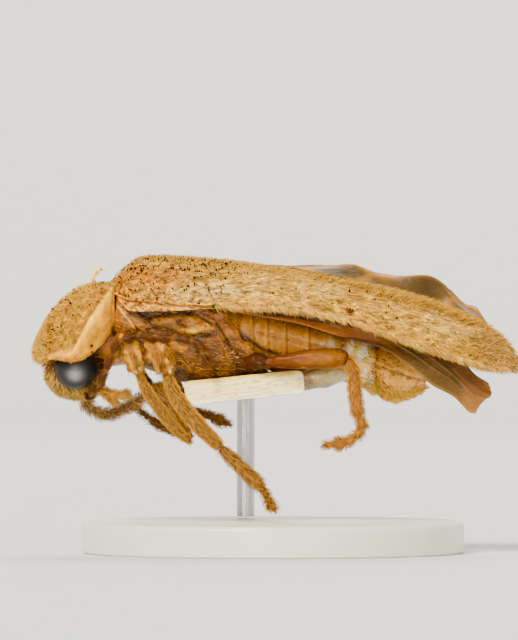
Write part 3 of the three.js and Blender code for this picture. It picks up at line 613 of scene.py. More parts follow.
# %% Build the wing cases
UNDERSIDE = (120, 72, 34)
skins = {}
for side in ("left", "right"):
    middle, u, v = case_grid(side)
    out = upward(middle)
    upper = middle + out * (WING_CASE / 2 + case_detail(middle, u, v))[..., None]
    lower = middle - out * WING_CASE / 2
    tone = case_tone(upper, u, v)
    streaks = 0.6 * mottle(upper, (0.05, 0.016, 0.016), 14) + 0.8 * mottle(upper, 0.026, 15)
    tone = relief_shade_and_mottle(tone, streaks, 0.5, 1.2)
    under = tint(tone, np.full(u.shape, 0.75), shade(*UNDERSIDE))
    case = plate_skin(f"wing_case_{side}", upper, lower, wing_case_finish, tone, under)
    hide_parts(f"elytron_{side}")
    skins[f"wing_case_{side}"] = {"grid": upper, "out": out, "tone": tone, "v": v}
    print(case.name, "faces", len(case.data.polygons))

# %% [markdown]
# ## The hind wings
#
# The flying wings are membranes 0.04 mm thick, smoky brown, folded lengthwise and then left half open when
# the beetle dried. A cloth simulation could crumple a sheet, but these folds have settled in known places,
# so each wing is a grid carried over a profile, with broad pleats first and fine creases on top. Stiff veins
# are low rounded ridges along it.

# %% Profiles of the hind wings
MEMBRANE = 0.03
WING_START = 1.5
left_end = run([0, 4.9], [0.5, 4.97], [1, 4.8])
left_inner = run([1.5, -0.25], [2.5, -0.3], [4.0, -0.35], [4.97, -0.45])
left_outer = run([1.5, -0.72], [2.2, -0.95], [2.9, -1.08], [3.6, -1.04], [4.1, -0.95], [4.5, -0.8],
                 [4.97, -0.66])
left_high = run([1.5, 2.5], [2.5, 2.5], [3.1, 2.4], [3.6, 2.28], [4.0, 2.14], [4.3, 1.98], [4.55, 1.76],
                [4.8, 1.5], [4.97, 1.36])
left_low = run([1.5, 2.4], [2.2, 2.2], [2.89, 2.07], [3.35, 1.93], [3.62, 1.86], [3.82, 1.79], [4.1, 1.59],
               [4.32, 1.41], [4.56, 1.28], [4.76, 1.1], [4.97, 1.16])
right_end = run([0, 5.02], [0.3, 5.15], [0.6, 5.08], [1, 5.02])
right_inner = run([1.5, 0.2], [1.97, 0.2], [2.54, 0.05], [3.05, -0.2], [3.4, -0.17], [3.75, -0.12],
                  [4.06, -0.05], [4.35, 0.12], [4.5, 0.13], [4.75, -0.05], [4.95, -0.18], [5.08, -0.14],
                  [5.15, -0.06])
right_outer = run([1.5, 0.6], [2.5, 0.82], [3.5, 0.9], [4.2, 0.88], [4.6, 0.66], [4.87, 0.42], [5.15, 0.26])
right_ridge = run([1.5, 2.56], [2.0, 2.6], [2.5, 2.66], [2.89, 2.66], [3.27, 2.69], [3.48, 2.71], [3.74, 2.6],
                  [3.94, 2.58], [4.21, 2.6], [4.4, 2.57], [4.55, 2.44], [4.71, 2.27], [4.83, 2.21],
                  [4.98, 1.99], [5.15, 1.78])
right_edge = run([1.5, 2.5], [2.0, 2.56], [2.4, 2.68], [2.8, 2.67], [3.05, 2.62], [3.5, 2.53], [3.9, 2.44],
                 [4.3, 2.3], [4.8, 2.12], [5.15, 1.76])
right_tuck = run([1.5, 2.44], [2.5, 2.4], [3.1, 2.28], [3.62, 2.16], [4.2, 2.0], [4.8, 1.84], [5.15, 1.7])
print("the right wing's fold is highest at", round(float(right_ridge(3.48)), 3))


# %% The hind wings as grids
def pleats(v, folds):
    """A wave whose crests are sharper than its troughs."""
    return 1 - np.abs(np.sin(v * folds * np.pi / 2)) ** 0.8 - 0.4


def left_wing_grid(u, v):
    x = WING_START + (left_end(v) - WING_START) * u
    turn = v * np.pi / 2
    fold = 0.03 * np.sin(v * 2.6 * np.pi + 0.6 * np.sin(3 * u)) * np.minimum(1, u * 2)
    y = left_inner(x) + (left_outer(x) - left_inner(x)) * np.sin(turn) ** 0.9 + fold * np.sin(turn)
    z = left_low(x) + (left_high(x) - left_low(x)) * np.cos(turn) ** 0.9 + fold * np.cos(turn)
    return np.stack([x, y, z], axis=-1)


def right_wing_grid(u, v):
    x = WING_START + (right_end(v) - WING_START) * u
    near, far = right_inner(x), right_outer(x)
    y = near + (far - near) * v
    lip = np.minimum(case_seam["right"](x) - 0.08, far - 0.04)
    top = near + 0.5 * (lip - near)
    z = np.empty_like(x)
    for i in np.ndindex(x.shape):
        tuck = right_tuck(x[i])
        crest = run([near[i], right_edge(x[i])], [top[i], right_ridge(x[i])], [lip[i], tuck + 0.03],
                    [far[i], tuck])
        z[i] = crest(y[i])
    return np.stack([x, y, z + 0.014 * np.sin(v * 6 * np.pi) * np.minimum(1, u * 3)], axis=-1)


# %% Creases, veins and colours of the hind wings
VEINS = [(0.1, 0.2), (0.4, 0.3), (0.6, 0.7), (0.9, 0.8), (0.22, 0.42), (0.75, 0.55)]  # v at root and at tip


def wing_detail(grid, u, v, seed):
    """Fine creases that run lengthwise, and veins as low ridges."""
    bent = 0.16 * mottle(grid, (0.5, 0.16, 0.16), seed + 8)
    creases = 0.02 * blotches(grid, 0.25, seed + 9) * pleats(v + bent + 0.12 * np.sin(4 * u + seed), 8)
    creases = creases * np.minimum(1, u * 4)
    crinkle = 0.035 * mottle(grid, (0.45, 0.16, 0.16), seed)
    crinkle = crinkle + 0.006 * mottle(grid, 0.05, seed + 1)
    veins = sum(band(v, root + (tip - root) * u, 0.012) for root, tip in VEINS)
    return 0.5 * creases + crinkle, veins


def wing_tone(grid, u, v, veins, seed):
    tone = glaze(one_colour(grid, 96, 74, 54), [
        (0.7 * mottle(grid, (0.6, 0.2, 0.2), seed + 5, 0.4), (74, 56, 42)),
        (0.6 * mottle(grid, (0.9, 0.1, 0.1), seed + 6), (126, 92, 58)),
        (0.6 * mottle(grid, 0.03, seed + 7), (66, 48, 36)),
        (0.7 * veins, (150, 104, 60)),
    ])
    rim = band(np.minimum(v, 1 - v), 0, 0.02) + band(u, 1, 0.012)
    return tint(tone, 0.7 * rim, shade(178, 138, 92))


def left_wing_colours(grid, u, v, tone):
    """Amber with dark lines where it is folded under the wing case, smoky brown panels where it opens, darker
    along their middle, partly the membrane's own smoke and partly painted shade.
    """
    x = grid[..., 0]
    folded = falls(x, 4.1, 0.5)
    tone = tint(tone, 0.8 * folded, shade(152, 92, 28))
    lines = np.clip(np.sin(v * 31 + 2.5 * np.sin(2 * x)) * 2 - 0.3, 0, 1)
    tone = tint(tone, 0.9 * folded * lines, shade(58, 26, 8))
    open_part = rises(x, 3.9, 0.3)
    tone = glaze(tone, [
        # darker along the middle of the open panel: smoky membrane, partly painted shade
        (0.7 * open_part * band(v, 0.5, 0.13), (48, 32, 20)),
        (0.6 * open_part * band(v, 0.92, 0.1), (112, 84, 56)),
    ])
    end = rises(u + 0.05 * np.sin(5 * v), 0.88, 0.03)
    return tint(tone, 0.6 * end, shade(150, 106, 84))


def right_wing_colours(grid, u, v, tone):
    """Smoky panels between lit folds, as the upper edge is seen over the wing case."""
    flat, x = side_view(grid), grid[..., 0]
    under = right_ridge(x) - grid[..., 2]
    lobes = 0.5 + 0.5 * np.cos(2 * np.pi * (x - 3.35) / 0.93)
    tone = glaze(tone, [
        (0.75 * band(under, 0, 0.035) * (1 - 0.6 * lobes), (150, 108, 66)),
        (0.8 * lobes * rises(under, 0, 0.05), (66, 54, 42)),
        (0.7 * band(under, 0, 0.01), (178, 138, 94)),
    ])
    for line in ([(3.74, 2.64), (3.6, 2.55), (3.3, 2.46)], [(4.66, 2.36), (4.5, 2.3), (4.3, 2.27)]):
        tone = tint(tone, 0.7 * close_to(flat, line, 0.035), shade(150, 108, 66))
    return tone


# %% Build the hind wings
WINGS = {  # grid, colours, rows and columns, seed
    "left": (left_wing_grid, left_wing_colours, (200, 80), 21),
    "right": (right_wing_grid, right_wing_colours, (170, 64), 31),
}
for side, (place, colours, size, seed) in WINGS.items():
    u, v = steps(*size)
    middle = place(u, v)
    out = upward(middle)
    folds, veins = wing_detail(middle, u, v, seed)
    middle = middle + out * folds[..., None]
    upper = middle + out * (MEMBRANE / 2 + 0.012 * veins)[..., None]
    lower = middle - out * (MEMBRANE / 2 - 0.004 * veins)[..., None]
    tone = colours(middle, u, v, wing_tone(middle, u, v, veins, seed))
    wing = plate_skin(f"hind_wing_{side}", upper, lower, wing_finish, tone, tone)
    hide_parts(f"hindwing_{side}")
    print(wing.name, "faces", len(wing.data.polygons))

# %% [markdown]
# ## The pronotum
#
# The shield behind the head hides it from above. Its back is domed, matt and hairy, its front lip hangs over
# the eye, and along each side a pale raised keel climbs from over the eye to the hind corner. Behind that
# keel the side folds in, smooth and shiny. One closed skin is bent from rings, as in the solid, and the keel
# and the fold are pushed out of it afterwards, because they need far finer rings than the solid has.

# %% Profiles of the pronotum
shield_top = run([0, 1.76], [0.03, 1.86], [0.09, 1.99], [0.21, 2.21], [0.39, 2.38], [0.51, 2.45],
                 [0.66, 2.49], [0.85, 2.5])
shield_rim = run([0, 1.71], [0.1, 1.69], [0.25, 1.73], [0.42, 1.75], [0.49, 1.87], [0.62, 2.12], [0.85, 2.46])
shield_low = run([0, 1.68], [0.1, 1.65], [0.24, 1.67], [0.42, 1.62], [0.51, 1.62], [0.62, 1.66], [0.74, 1.76],
                 [0.88, 1.95])
shield_left = run([0, -0.2], [0.02, -0.37], [0.09, -0.53], [0.2, -0.68], [0.33, -0.87], [0.49, -0.98],
                  [0.66, -0.92], [0.85, -0.75])
shield_right = run([0, -0.1], [0.05, 0.03], [0.14, 0.16], [0.25, 0.32], [0.42, 0.54], [0.55, 0.64],
                   [0.68, 0.67], [0.85, 0.58])
print("the pronotum's keel climbs from", shield_rim(0.1).round(2), "to", shield_rim(0.85).round(2))

# %% Rings of the pronotum
SHIELD_ROWS, SHIELD_SIDES, SHIELD_END = 120, 180, 0.88
t, angle = steps(SHIELD_ROWS, SHIELD_SIDES, (0, 1), (0, FULL_TURN))
x = SHIELD_END * (0.6 * t**1.7 + 0.4 * t)
wide, turn = np.cos(angle), np.sin(angle)  # turn is 1 along the middle of the back and -1 along the underside
centre = (shield_left(x) + shield_right(x)) / 2
half = (shield_right(x) - shield_left(x)) / 2
back = shield_rim(x) + (shield_top(x) - shield_rim(x)) * np.abs(turn) ** 0.85
under = shield_rim(x) - (shield_rim(x) - shield_low(x)) * np.abs(turn) ** 0.36 + 0.1 * turn**4
y = centre + half * np.sign(wide) * np.abs(wide) ** 0.9
notch = 0.11 * t**6 * np.maximum(0, 1 - (np.abs(y) / 0.5) ** 2)
x = x - np.where(turn > 0, notch, 0)
grid = np.stack([x, y, np.where(turn >= 0, back, under)], axis=-1)
print("pronotum rings:", grid.shape[:2])

# %% Keel, fold and dimples
on_back = turn > 0.1
at_side = np.abs(wide) > 0.3
over_rim = grid[..., 2] - shield_rim(grid[..., 0])
keel = band(over_rim, 0, 0.02) * at_side
before = band(over_rim, 0.06, 0.05) * at_side * rises(x, 0.1, 0.1)
behind = falls(over_rim, 0, 0.03) * (x > 0.25)
dimples = (0.016 * mottle(grid, 0.16, 41) + 0.008 * mottle(grid, 0.04, 45)) * on_back
push = 0.03 * keel * rises(x, 0.1, 0.15) - 0.02 * band(turn, -0.28, 0.2) * (x > 0.35)
push = push - 0.012 * before + dimples + 0.004 * np.sin(40 * x + 22 * grid[..., 2]) * behind * (x > 0.4)
push = push * (np.minimum(t, 1 - t) > 0.01)
grid = push_out(grid, push)
print("pushed out by up to", push.max().round(3), "mm")

# %% Colour of the pronotum
speckle = 0.6 * mottle(grid, 0.022, 46) * (turn > 0.05) + 0.35 * mottle(grid, 0.06, 47)
tone = glaze(one_colour(grid, 206, 158, 84), [
    (0.7 * mottle(grid, 0.3, 42, 0.3), (214, 146, 60)),
    # painted shadow of the hairs: a darker band just above the keel
    (0.5 * before, (150, 92, 34)),
    (1.3 * mottle(grid, 0.08, 49, 0.45) * on_back, (160, 104, 36)),
    (0.6 * rises(t, 0.72, 0.3) * (turn > 0.2), (176, 112, 48)),
    (0.7 * falls(x, 0.16, 0.12), (206, 170, 116)),
    (0.95 * behind, (222, 156, 38)),
    (0.8 * behind * mottle(grid, (0.06, 0.1, 0.2), 43, 0.2), (246, 200, 84)),
    (0.75 * behind * falls(x, 0.62, 0.25), (198, 134, 34)),
    (0.45 * behind * (blotches(grid, (0.1, 0.1, 0.06), 48) > 0.62), (200, 128, 42)),
    (0.95 * keel * np.clip((x - 0.25) / 0.35, 0.15, 1), (248, 200, 108)),
    # painted shade along the hind edge, where the pronotum meets the thorax
    (0.7 * band(x, 0.86, 0.02), (140, 84, 36)),
    (0.6 * (blotches(grid, 0.04, 44) > 0.78) * on_back, (110, 66, 28)),
])
tone = relief_shade_and_mottle(tone, speckle, 0.5, 1.0)

# %% Build the pronotum
pronotum = ring_skin("pronotum_skin", grid, shield_finish, tone)
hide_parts("pronotum")
skins["pronotum"] = as_skin(grid, tone)
print("pronotum faces", len(pronotum.data.polygons))

# %% [markdown]
# ## Head and eyes
#
# The face is turned down under the pronotum. From the side the eye fills most of it: a glossy dark grey ball
# with very small facets, in a band of brown skin. Real facets are a few thousandths of a millimetre wide,
# too many to model, so they are a bump on a true ball.

# %% Body rings, as a helper for head, thorax and abdomen
def body_rings(start, end, rows, sides, square, top, low, left, right):
    """Rings of points between a top and an underside. Angle 0 is the right side and goes up from there.
    Square 2 makes an ellipse of each ring, and more than that fills its corners."""
    t, angle = steps(rows, sides, (0, 1), (0, FULL_TURN))
    x = start + (end - start) * t
    c, s = np.cos(angle), np.sin(angle)
    wide, tall = (right(x) - left(x)) / 2, (top(x) - low(x)) / 2
    y = (left(x) + right(x)) / 2 + wide * np.sign(c) * np.abs(c) ** (2 / square)
    z = (top(x) + low(x)) / 2 + tall * np.sign(s) * np.abs(s) ** (2 / square)
    return np.stack([x, y, z], axis=-1)


# %% Head
HEAD_MIDDLE = -0.15
EYE_PLACE, EYE_RADIUS = (0.455, 0.36, 1.59), 0.235
HEAD_FROM, HEAD_TO = 0.115, 0.77
grid = body_rings(
    HEAD_FROM, HEAD_TO, rows=70, sides=110, square=2.1,
    top=run([0.115, 1.62], [0.16, 1.72], [0.3, 1.8], [0.6, 1.82], [0.77, 1.72]),
    low=run([0.115, 1.52], [0.16, 1.43], [0.25, 1.33], [0.36, 1.285], [0.52, 1.27], [0.66, 1.31],
            [0.77, 1.4]),
    left=run([0.115, -0.3], [0.2, -0.47], [0.4, -0.55], [0.6, -0.52], [0.77, -0.44]),
    right=run([0.115, 0.0], [0.2, 0.17], [0.4, 0.25], [0.6, 0.22], [0.77, 0.14]),
)
flat = side_view(grid)
eye_away = np.linalg.norm(flat - np.array([EYE_PLACE[0], EYE_PLACE[2]]), axis=-1)
raised = 0.014 * band(eye_away, EYE_RADIUS, 0.03) + 0.02 * mottle(grid, 0.12, 51) * (grid[..., 0] > 0.6)
grid = push_out(grid, raised)
x, y, z = three(grid)
tone = glaze(one_colour(grid, 84, 50, 30), [
    (0.7 * falls(x, 0.42, 0.2), (112, 74, 44)),
    (0.9 * inside(flat, [(0.62, 1.83), (0.8, 1.8), (0.8, 1.45), (0.72, 1.36), (0.6, 1.4)], 0.08),
     (48, 26, 22)),
    (0.6 * falls(z, 1.33, 0.06), (150, 100, 60)),
])
head = ring_skin("head_skin", grid, head_finish, tone)
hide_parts("head")
skins["head"] = as_skin(grid, tone)
print("head faces", len(head.data.polygons))

# %% [markdown]
# ## The eye's finish
#
# An eye reads as deep: nearly black, with one soft pale highlight where its facets look straight out. A
# reflection alone stayed too weak, so the highlight is painted into the tone, a little below the middle of
# each ball. A Voronoi texture gives cells of even size, as facets are, and each cell is painted darker
# towards its edge, as shade in the grooves between facets.

# %% Facets of the eye
FACET = 0.013
FACET_DEPTH = 0.003
eye_finish, tree, shader = new_material("eye")
where = add_node(tree, "TexCoord")
facets = add_node(tree, "TexVoronoi", {"Vector": where.outputs["Object"], "Scale": METRES_TO_MM / FACET,
                                       "Randomness": 0.35})
# painted shade: each facet darker towards its edge, in the grooves of the bump
ramp = add_node(tree, "ValToRGB", {"Fac": facets.outputs["Distance"]})
ramp.color_ramp.elements[0].color = (1, 1, 1, 1)
ramp.color_ramp.elements[1].color = (0.5, 0.5, 0.5, 1)
# the tone, with the eye's painted highlight in it
depth = add_node(tree, "Attribute", attribute_name="tone")
tone_and_facet_shade = add_node(tree, "VectorMath", {0: depth.outputs["Color"], 1: ramp.outputs["Color"]},
                   operation="MULTIPLY")
raised = add_node(tree, "Bump", {"Height": facets.outputs["Distance"], "Strength": 0.25,
                                 "Distance": FACET_DEPTH * MM}, invert=True)
worn = add_node(tree, "MapRange", {"Value": facets.outputs["Distance"], "To Min": 0.3, "To Max": 0.38})
fill_inputs(tree, shader, {"Base Color": tone_and_facet_shade.outputs["Vector"], "Normal": raised.outputs["Normal"],
                           "Roughness": worn.outputs["Result"], "Specular IOR Level": 0.13})
print("one facet in mm:", FACET)

# %% Eyes
FLAT_OUT = 0.95
EYE_GREY = np.array([1.0, 0.95, 0.92])
for side, sign in (("left", -1), ("right", 1)):
    t, angle = ball_steps(64, 96, inset=0.02)
    ball = np.stack([np.sin(t) * np.cos(angle), np.cos(t) * FLAT_OUT, np.sin(t) * np.sin(angle)], axis=-1)
    middle = np.array([EYE_PLACE[0], HEAD_MIDDLE + sign * EYE_PLACE[1], EYE_PLACE[2]])
    # painted highlight: lighter where each ball faces out and a little down
    glance = np.clip(0.95 * sign * ball[..., 1] - 0.3 * ball[..., 2], 0, 1)
    tone = (0.009 + 0.03 * glance**3 + 0.8 * glance**20)[..., None] * EYE_GREY
    eye = ring_skin(f"eye_ball_{side}", middle + ball * EYE_RADIUS, eye_finish, tone)
    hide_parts(f"eye_{side}")
print("head and eyes done")

# %% [markdown]
# ## The thorax
#
# The side of the thorax is a patchwork of plates: a yellow triangle behind the pronotum, a tan one beside it
# with a dark seam between, a shiny flap under the wing's root, and broad brown plates that lean back to the
# hind leg. Each plate could be an object of its own. Here one skin carries them all, each plate given by its
# corners as seen from the side, raised a little with its own tone, and each seam by a line that is pressed
# in and darkened. That keeps the skin closed and gives both sides the same pattern.

# %% Where the card lies under the body
CARD = {"width": 1.3, "length": 2.5, "thickness": 0.26, "corner": 0.06}
CARD_PLACE = np.array([2.29, -0.68, 1.38])  # the middle of its cut end
CARD_LEAN = 0.1
OVER_CARD = (1.62, 2.96)
GAP_UNDER = 0.006


def card_top(x):
    rise = (CARD["thickness"] / 2 + GAP_UNDER) / math.cos(CARD_LEAN)
    return CARD_PLACE[2] + rise + (x - CARD_PLACE[0]) * math.tan(CARD_LEAN)


def rest_on_card(grid):
    """Flattens what would sink into the card."""
    x, y, z = grid[..., 0], grid[..., 1], grid[..., 2]
    over = (x > OVER_CARD[0]) & (x < OVER_CARD[1]) & (y > CARD_PLACE[1] - 0.02)
    grid[..., 2] = np.where(over, np.maximum(z, card_top(x)), z)
    return grid


print("top of the card under the thorax:", round(card_top(2.0), 3))

# %% Plates and seams of the thorax
PLATES = [  # corners along and up, push out in mm, colour, strength, softness
    ([(0.87, 2.275), (0.943, 2.257), (1.132, 2.001), (0.979, 1.968), (0.879, 2.04)], 0.02,
     (122, 76, 12), 0.95, 0.05),
    ([(0.84, 2.38), (0.95, 2.36), (1.02, 2.27), (0.94, 2.25), (0.84, 2.27)], 0.03, (130, 82, 14), 0.95, 0.04),
    ([(0.943, 2.257), (1.177, 2.149), (1.277, 2.031), (1.15, 1.99)], 0.012, (146, 96, 40), 0.95, 0.05),
    ([(1.159, 2.2), (1.394, 2.21), (1.7, 2.215), (1.62, 2.158), (1.358, 2.14), (1.213, 2.104)], -0.03,
     (104, 62, 22), 0.85, 0.06),
    ([(1.295, 2.104), (1.575, 2.149), (1.827, 2.113), (1.936, 2.022), (1.918, 1.972), (1.683, 1.968),
      (1.448, 2.019)], 0.022, (166, 110, 42), 0.95, 0.05),
    ([(1.52, 2.03), (1.66, 2.0), (1.755, 2.03), (1.925, 2.01), (1.9, 1.97), (1.683, 1.965)], 0.01,
     (240, 178, 84), 0.85, 0.03),
    ([(1.56, 2.1), (1.6, 2.115), (1.67, 2.03), (1.64, 2.01)], -0.02, (92, 52, 18), 0.9, 0.03),
    ([(1.755, 1.932), (1.918, 1.95), (2.008, 2.058), (2.477, 1.643), (2.297, 1.553), (1.936, 1.571),
      (1.827, 1.733)], 0.016, (78, 46, 18), 0.9, 0.07),
    ([(1.36, 2.21), (1.98, 2.2), (2.0, 2.08), (1.83, 2.13), (1.575, 2.165)], -0.012,
     (120, 68, 24), 0.85, 0.05),
    ([(1.9, 2.2), (2.05, 2.2), (2.2, 1.98), (2.12, 1.9), (1.96, 2.04)], 0.01, (150, 98, 42), 0.9, 0.08),
    ([(1.448, 1.896), (1.755, 1.896), (1.863, 1.553), (1.502, 1.535)], 0.012, (100, 62, 26), 0.85, 0.08),
    ([(1.36, 1.93), (1.5, 1.91), (1.68, 1.83), (1.6, 1.77), (1.42, 1.84)], 0.014, (208, 146, 66), 0.85, 0.05),
    ([(1.93, 1.57), (2.3, 1.56), (2.3, 1.5), (1.93, 1.5)], 0, (56, 28, 14), 0.8, 0.06),
    ([(1.0, 1.84), (1.4, 1.96), (1.42, 1.62), (1.1, 1.6)], 0, (116, 68, 28), 0.7, 0.1),
]
SEAMS = [  # line along and up, half width, push out in mm, colour, strength
    ([(0.943, 2.262), (1.123, 2.004)], 0.012, -0.016, (70, 40, 18), 0.95),
    ([(0.93, 2.275), (1.11, 2.01)], 0.008, 0.012, (220, 164, 84), 0.7),
    ([(1.1, 1.985), (1.3, 2.02), (1.45, 1.99), (1.7, 1.945), (1.9, 1.95)], 0.02, -0.02, (96, 52, 24), 0.85),
    ([(2.03, 2.17), (2.2, 1.93), (2.42, 1.66)], 0.036, 0.02, (126, 80, 36), 0.7),
    ([(2.06, 2.17), (2.23, 1.94), (2.45, 1.67)], 0.014, 0.006, (190, 134, 66), 0.3),
    ([(1.98, 2.08), (2.12, 1.86), (2.32, 1.6)], 0.014, -0.018, (60, 32, 12), 0.9),
    ([(1.9, 2.1), (2.0, 1.9), (2.12, 1.62)], 0.008, -0.008, (150, 100, 46), 0.6),
    ([(1.94, 2.06), (2.03, 1.88), (2.18, 1.6)], 0.016, 0.008, (162, 106, 50), 0.35),
    ([(1.45, 2.12), (1.6, 2.17), (1.85, 2.15), (1.97, 2.08)], 0.008, 0.01, (206, 146, 70), 0.6),
    ([(1.42, 2.17), (1.7, 2.185), (1.92, 2.17)], 0.006, -0.012, (46, 22, 8), 0.8),
    ([(1.74, 1.94), (1.84, 1.74), (1.93, 1.56)], 0.016, -0.018, (82, 46, 22), 0.8),
    ([(1.295, 2.104), (1.575, 2.152), (1.827, 2.115), (1.936, 2.02)], 0.012, 0.012, (228, 172, 92), 0.6),
    ([(1.44, 1.56), (1.47, 1.75), (1.43, 1.93)], 0.014, -0.016, (86, 48, 22), 0.7),
    ([(1.24, 1.98), (1.36, 1.78), (1.4, 1.6)], 0.016, -0.02, (84, 48, 22), 0.75),
]
print("plates:", len(PLATES), "seams:", len(SEAMS))


# %% A helper that presses plates and seams into a skin
def dress_side(grid, tone):
    """Plates and seams, strongest where the skin faces sideways."""
    out = outward(grid)
    waver = np.stack([blotches(grid, 0.1, 61), blotches(grid, 0.1, 62)], axis=-1)
    flat = side_view(grid) + 0.02 * waver - 0.01
    sideways = np.clip(np.abs(out[..., 1]) * 1.6 - 0.2, 0, 1)
    push = np.zeros(grid.shape[:2])
    forms = [(inside(flat, corners, soft), *form) for corners, *form, soft in PLATES]
    forms += [(close_to(flat, line, width), *form) for line, width, *form in SEAMS]
    for mask, lift, colour, amount in forms:
        push += lift * mask * sideways
        tone = tint(tone, amount * mask * sideways, shade(*colour))
    # painted shade in the pressed-in plates and seams, painted light on the raised ones
    return grid + out * push[..., None], relief_shade_and_mottle(tone, push, 0.03, 0.5)


# %% Thorax skin
THORAX_FROM, THORAX_TO = 0.84, 2.52
grid = body_rings(
    THORAX_FROM, THORAX_TO, rows=260, sides=300, square=2.6,
    top=run([0.87, 2.43], [1.0, 2.55], [1.2, 2.66], [1.42, 2.65], [2.0, 2.56], [2.52, 2.42]),
    low=run([0.87, 1.92], [1.0, 1.74], [1.15, 1.62], [1.42, 1.53], [1.7, 1.43], [2.1, 1.44], [2.52, 1.54]),
    left=run([0.87, -0.68], [1.0, -0.77], [1.42, -0.8], [1.8, -0.8], [2.2, -0.78], [2.52, -0.74]),
    right=run([0.87, 0.66], [1.0, 0.76], [1.42, 0.8], [1.8, 0.78], [2.2, 0.76], [2.52, 0.72]),
)
slant = 0.78 * np.clip(grid[..., 2] - 1.62, 0, 0.62) * rises(grid[..., 0], 1.9, 0.62)
grid[..., 0] -= slant
x, y, z = three(grid)
on_back = z > 2.35
bars = band(x, 1.72, 0.05) + band(x, 2.06, 0.04)
tone = glaze(one_colour(grid, 84, 48, 18), [
    (0.7 * mottle(grid, 0.2, 63, 0.3), (56, 28, 12)),
    (0.5 * np.clip(blotches(grid, (0.05, 0.1, 0.16), 69) * 4 - 2.3, 0, 1), (150, 98, 44)),
    (rises(z, 2.4, 0.1) * 0.8, (150, 92, 40)),
    (0.9 * bars * on_back, (222, 176, 96)),
    (0.85 * band(x, 1.9, 0.06) * on_back, (70, 38, 16)),
])
grid, tone = dress_side(grid, tone)
lumps = 0.03 * mottle(grid, (0.12, 0.07, 0.07), 64) + 0.012 * mottle(grid, 0.035, 65)
# painted shade in the dents between the lumps, painted light on their tops
tone = relief_shade_and_mottle(tone, lumps, 0.014, 0.7)
grid = rest_on_card(push_out(grid, lumps))
thorax = ring_skin("thorax_skin", grid, body_finish, tone)
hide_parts("mesothorax", "metathorax")
skins["thorax"] = as_skin(grid, tone)
print("thorax faces", len(thorax.data.polygons))

# %% [markdown]
# ## Neck and scutellum
#
# The neck is a short soft ring under the pronotum. The scutellum is the small tongue that closes the gap
# between the wing cases where they start. Both are mostly hidden, so each is a plain closed skin with the
# body's finish.

# %% Neck
grid = body_rings(
    0.6, 1.08, rows=50, sides=90, square=2.3,
    top=run([0.6, 2.1], [1.08, 2.2]), low=run([0.6, 1.62], [0.8, 1.6], [1.08, 1.66]),
    left=run([0.6, -0.4], [0.9, -0.46], [1.08, -0.44]), right=run([0.6, 0.28], [0.9, 0.38], [1.08, 0.38]),
)
grid = push_out(grid, 0.03 * mottle(grid, 0.12, 66))
tone = glaze(one_colour(grid, 196, 134, 62), [
    (0.8 * mottle(grid, 0.15, 67, 0.3), (150, 92, 44)),
    (0.8 * falls(grid[..., 0], 0.78, 0.1), (70, 40, 28)),
])
neck = ring_skin("neck_skin", grid, body_finish, tone)
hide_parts("prothorax")
print("neck faces", len(neck.data.polygons))

# %% Scutellum
t, angle = ball_steps(40, 60, inset=0.03)
narrowing = 0.95 - 0.35 * np.cos(t)
lobe = np.stack([0.2 * np.cos(t), 0.17 * np.sin(t) * narrowing * np.cos(angle),
                 0.055 * np.sin(t) * np.sin(angle)], axis=-1)
grid = tipped(lobe, 0.5) + np.array([0.97, 0.03, 2.565])
tone = glaze(one_colour(grid, 188, 128, 52), [(0.7 * mottle(grid, 0.08, 68, 0.3), (130, 80, 30))])
scutellum = ring_skin("scutellum_skin", grid, shield_finish, tone)
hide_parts("scutellum")
skins["scutellum"] = as_skin(grid, tone)
print("scutellum faces", len(scutellum.data.polygons))

# %% [markdown]
# ## The abdomen
#
# Eight rings overlap like roof tiles, each rising slowly and then stepping down to the next. The fifth and
# sixth carry the pale light organ. The rings are cut into one skin as a saw-tooth wave with softened steps.

# %% Rings of the abdomen
RINGS = np.array([2.02, 2.2, 2.38, 2.54, 2.74, 2.99, 3.24, 3.48, 3.72, 3.95, 4.3])  # where each one starts
grid = body_rings(
    2.02, 4.27, rows=340, sides=200, square=2.2,
    top=run([2.02, 2.36], [2.46, 2.38], [3.0, 2.22], [3.5, 2.04], [3.93, 1.8], [4.15, 1.62], [4.27, 1.5]),
    low=run([2.02, 1.62], [2.46, 1.56], [3.0, 1.5], [3.62, 1.39], [3.93, 1.26], [4.12, 1.3], [4.27, 1.4]),
    left=run([2.02, -0.68], [2.46, -0.72], [3.0, -0.76], [3.5, -0.7], [3.93, -0.46], [4.15, -0.26],
             [4.27, -0.1]),
    right=run([2.02, 0.66], [2.46, 0.7], [3.0, 0.76], [3.5, 0.7], [3.93, 0.46], [4.15, 0.26], [4.27, 0.1]),
)


def ring_share(x):
    """How far along its own ring each place lies, from 0 to 1."""
    i = np.clip(np.searchsorted(RINGS, x, side="right") - 1, 0, len(RINGS) - 2)
    return (x - RINGS[i]) / (RINGS[i + 1] - RINGS[i])


share = ring_share(grid[..., 0])
tile = 0.024 * share - 0.014 - 0.008 * band(share, 0.02, 0.05)
SIDE_SEAM = [(2.46, 1.98), (3.0, 1.84), (3.5, 1.7), (3.93, 1.56), (4.25, 1.46)]
side_seam = close_to(side_view(grid), SIDE_SEAM, 0.02)
wrinkles = 0.02 * mottle(grid, (0.05, 0.12, 0.2), 71)
push = tile - 0.018 * side_seam + wrinkles + 0.01 * mottle(grid, 0.05, 72)
grid = push_out(grid, push)
print("abdomen rings:", len(RINGS) - 1)

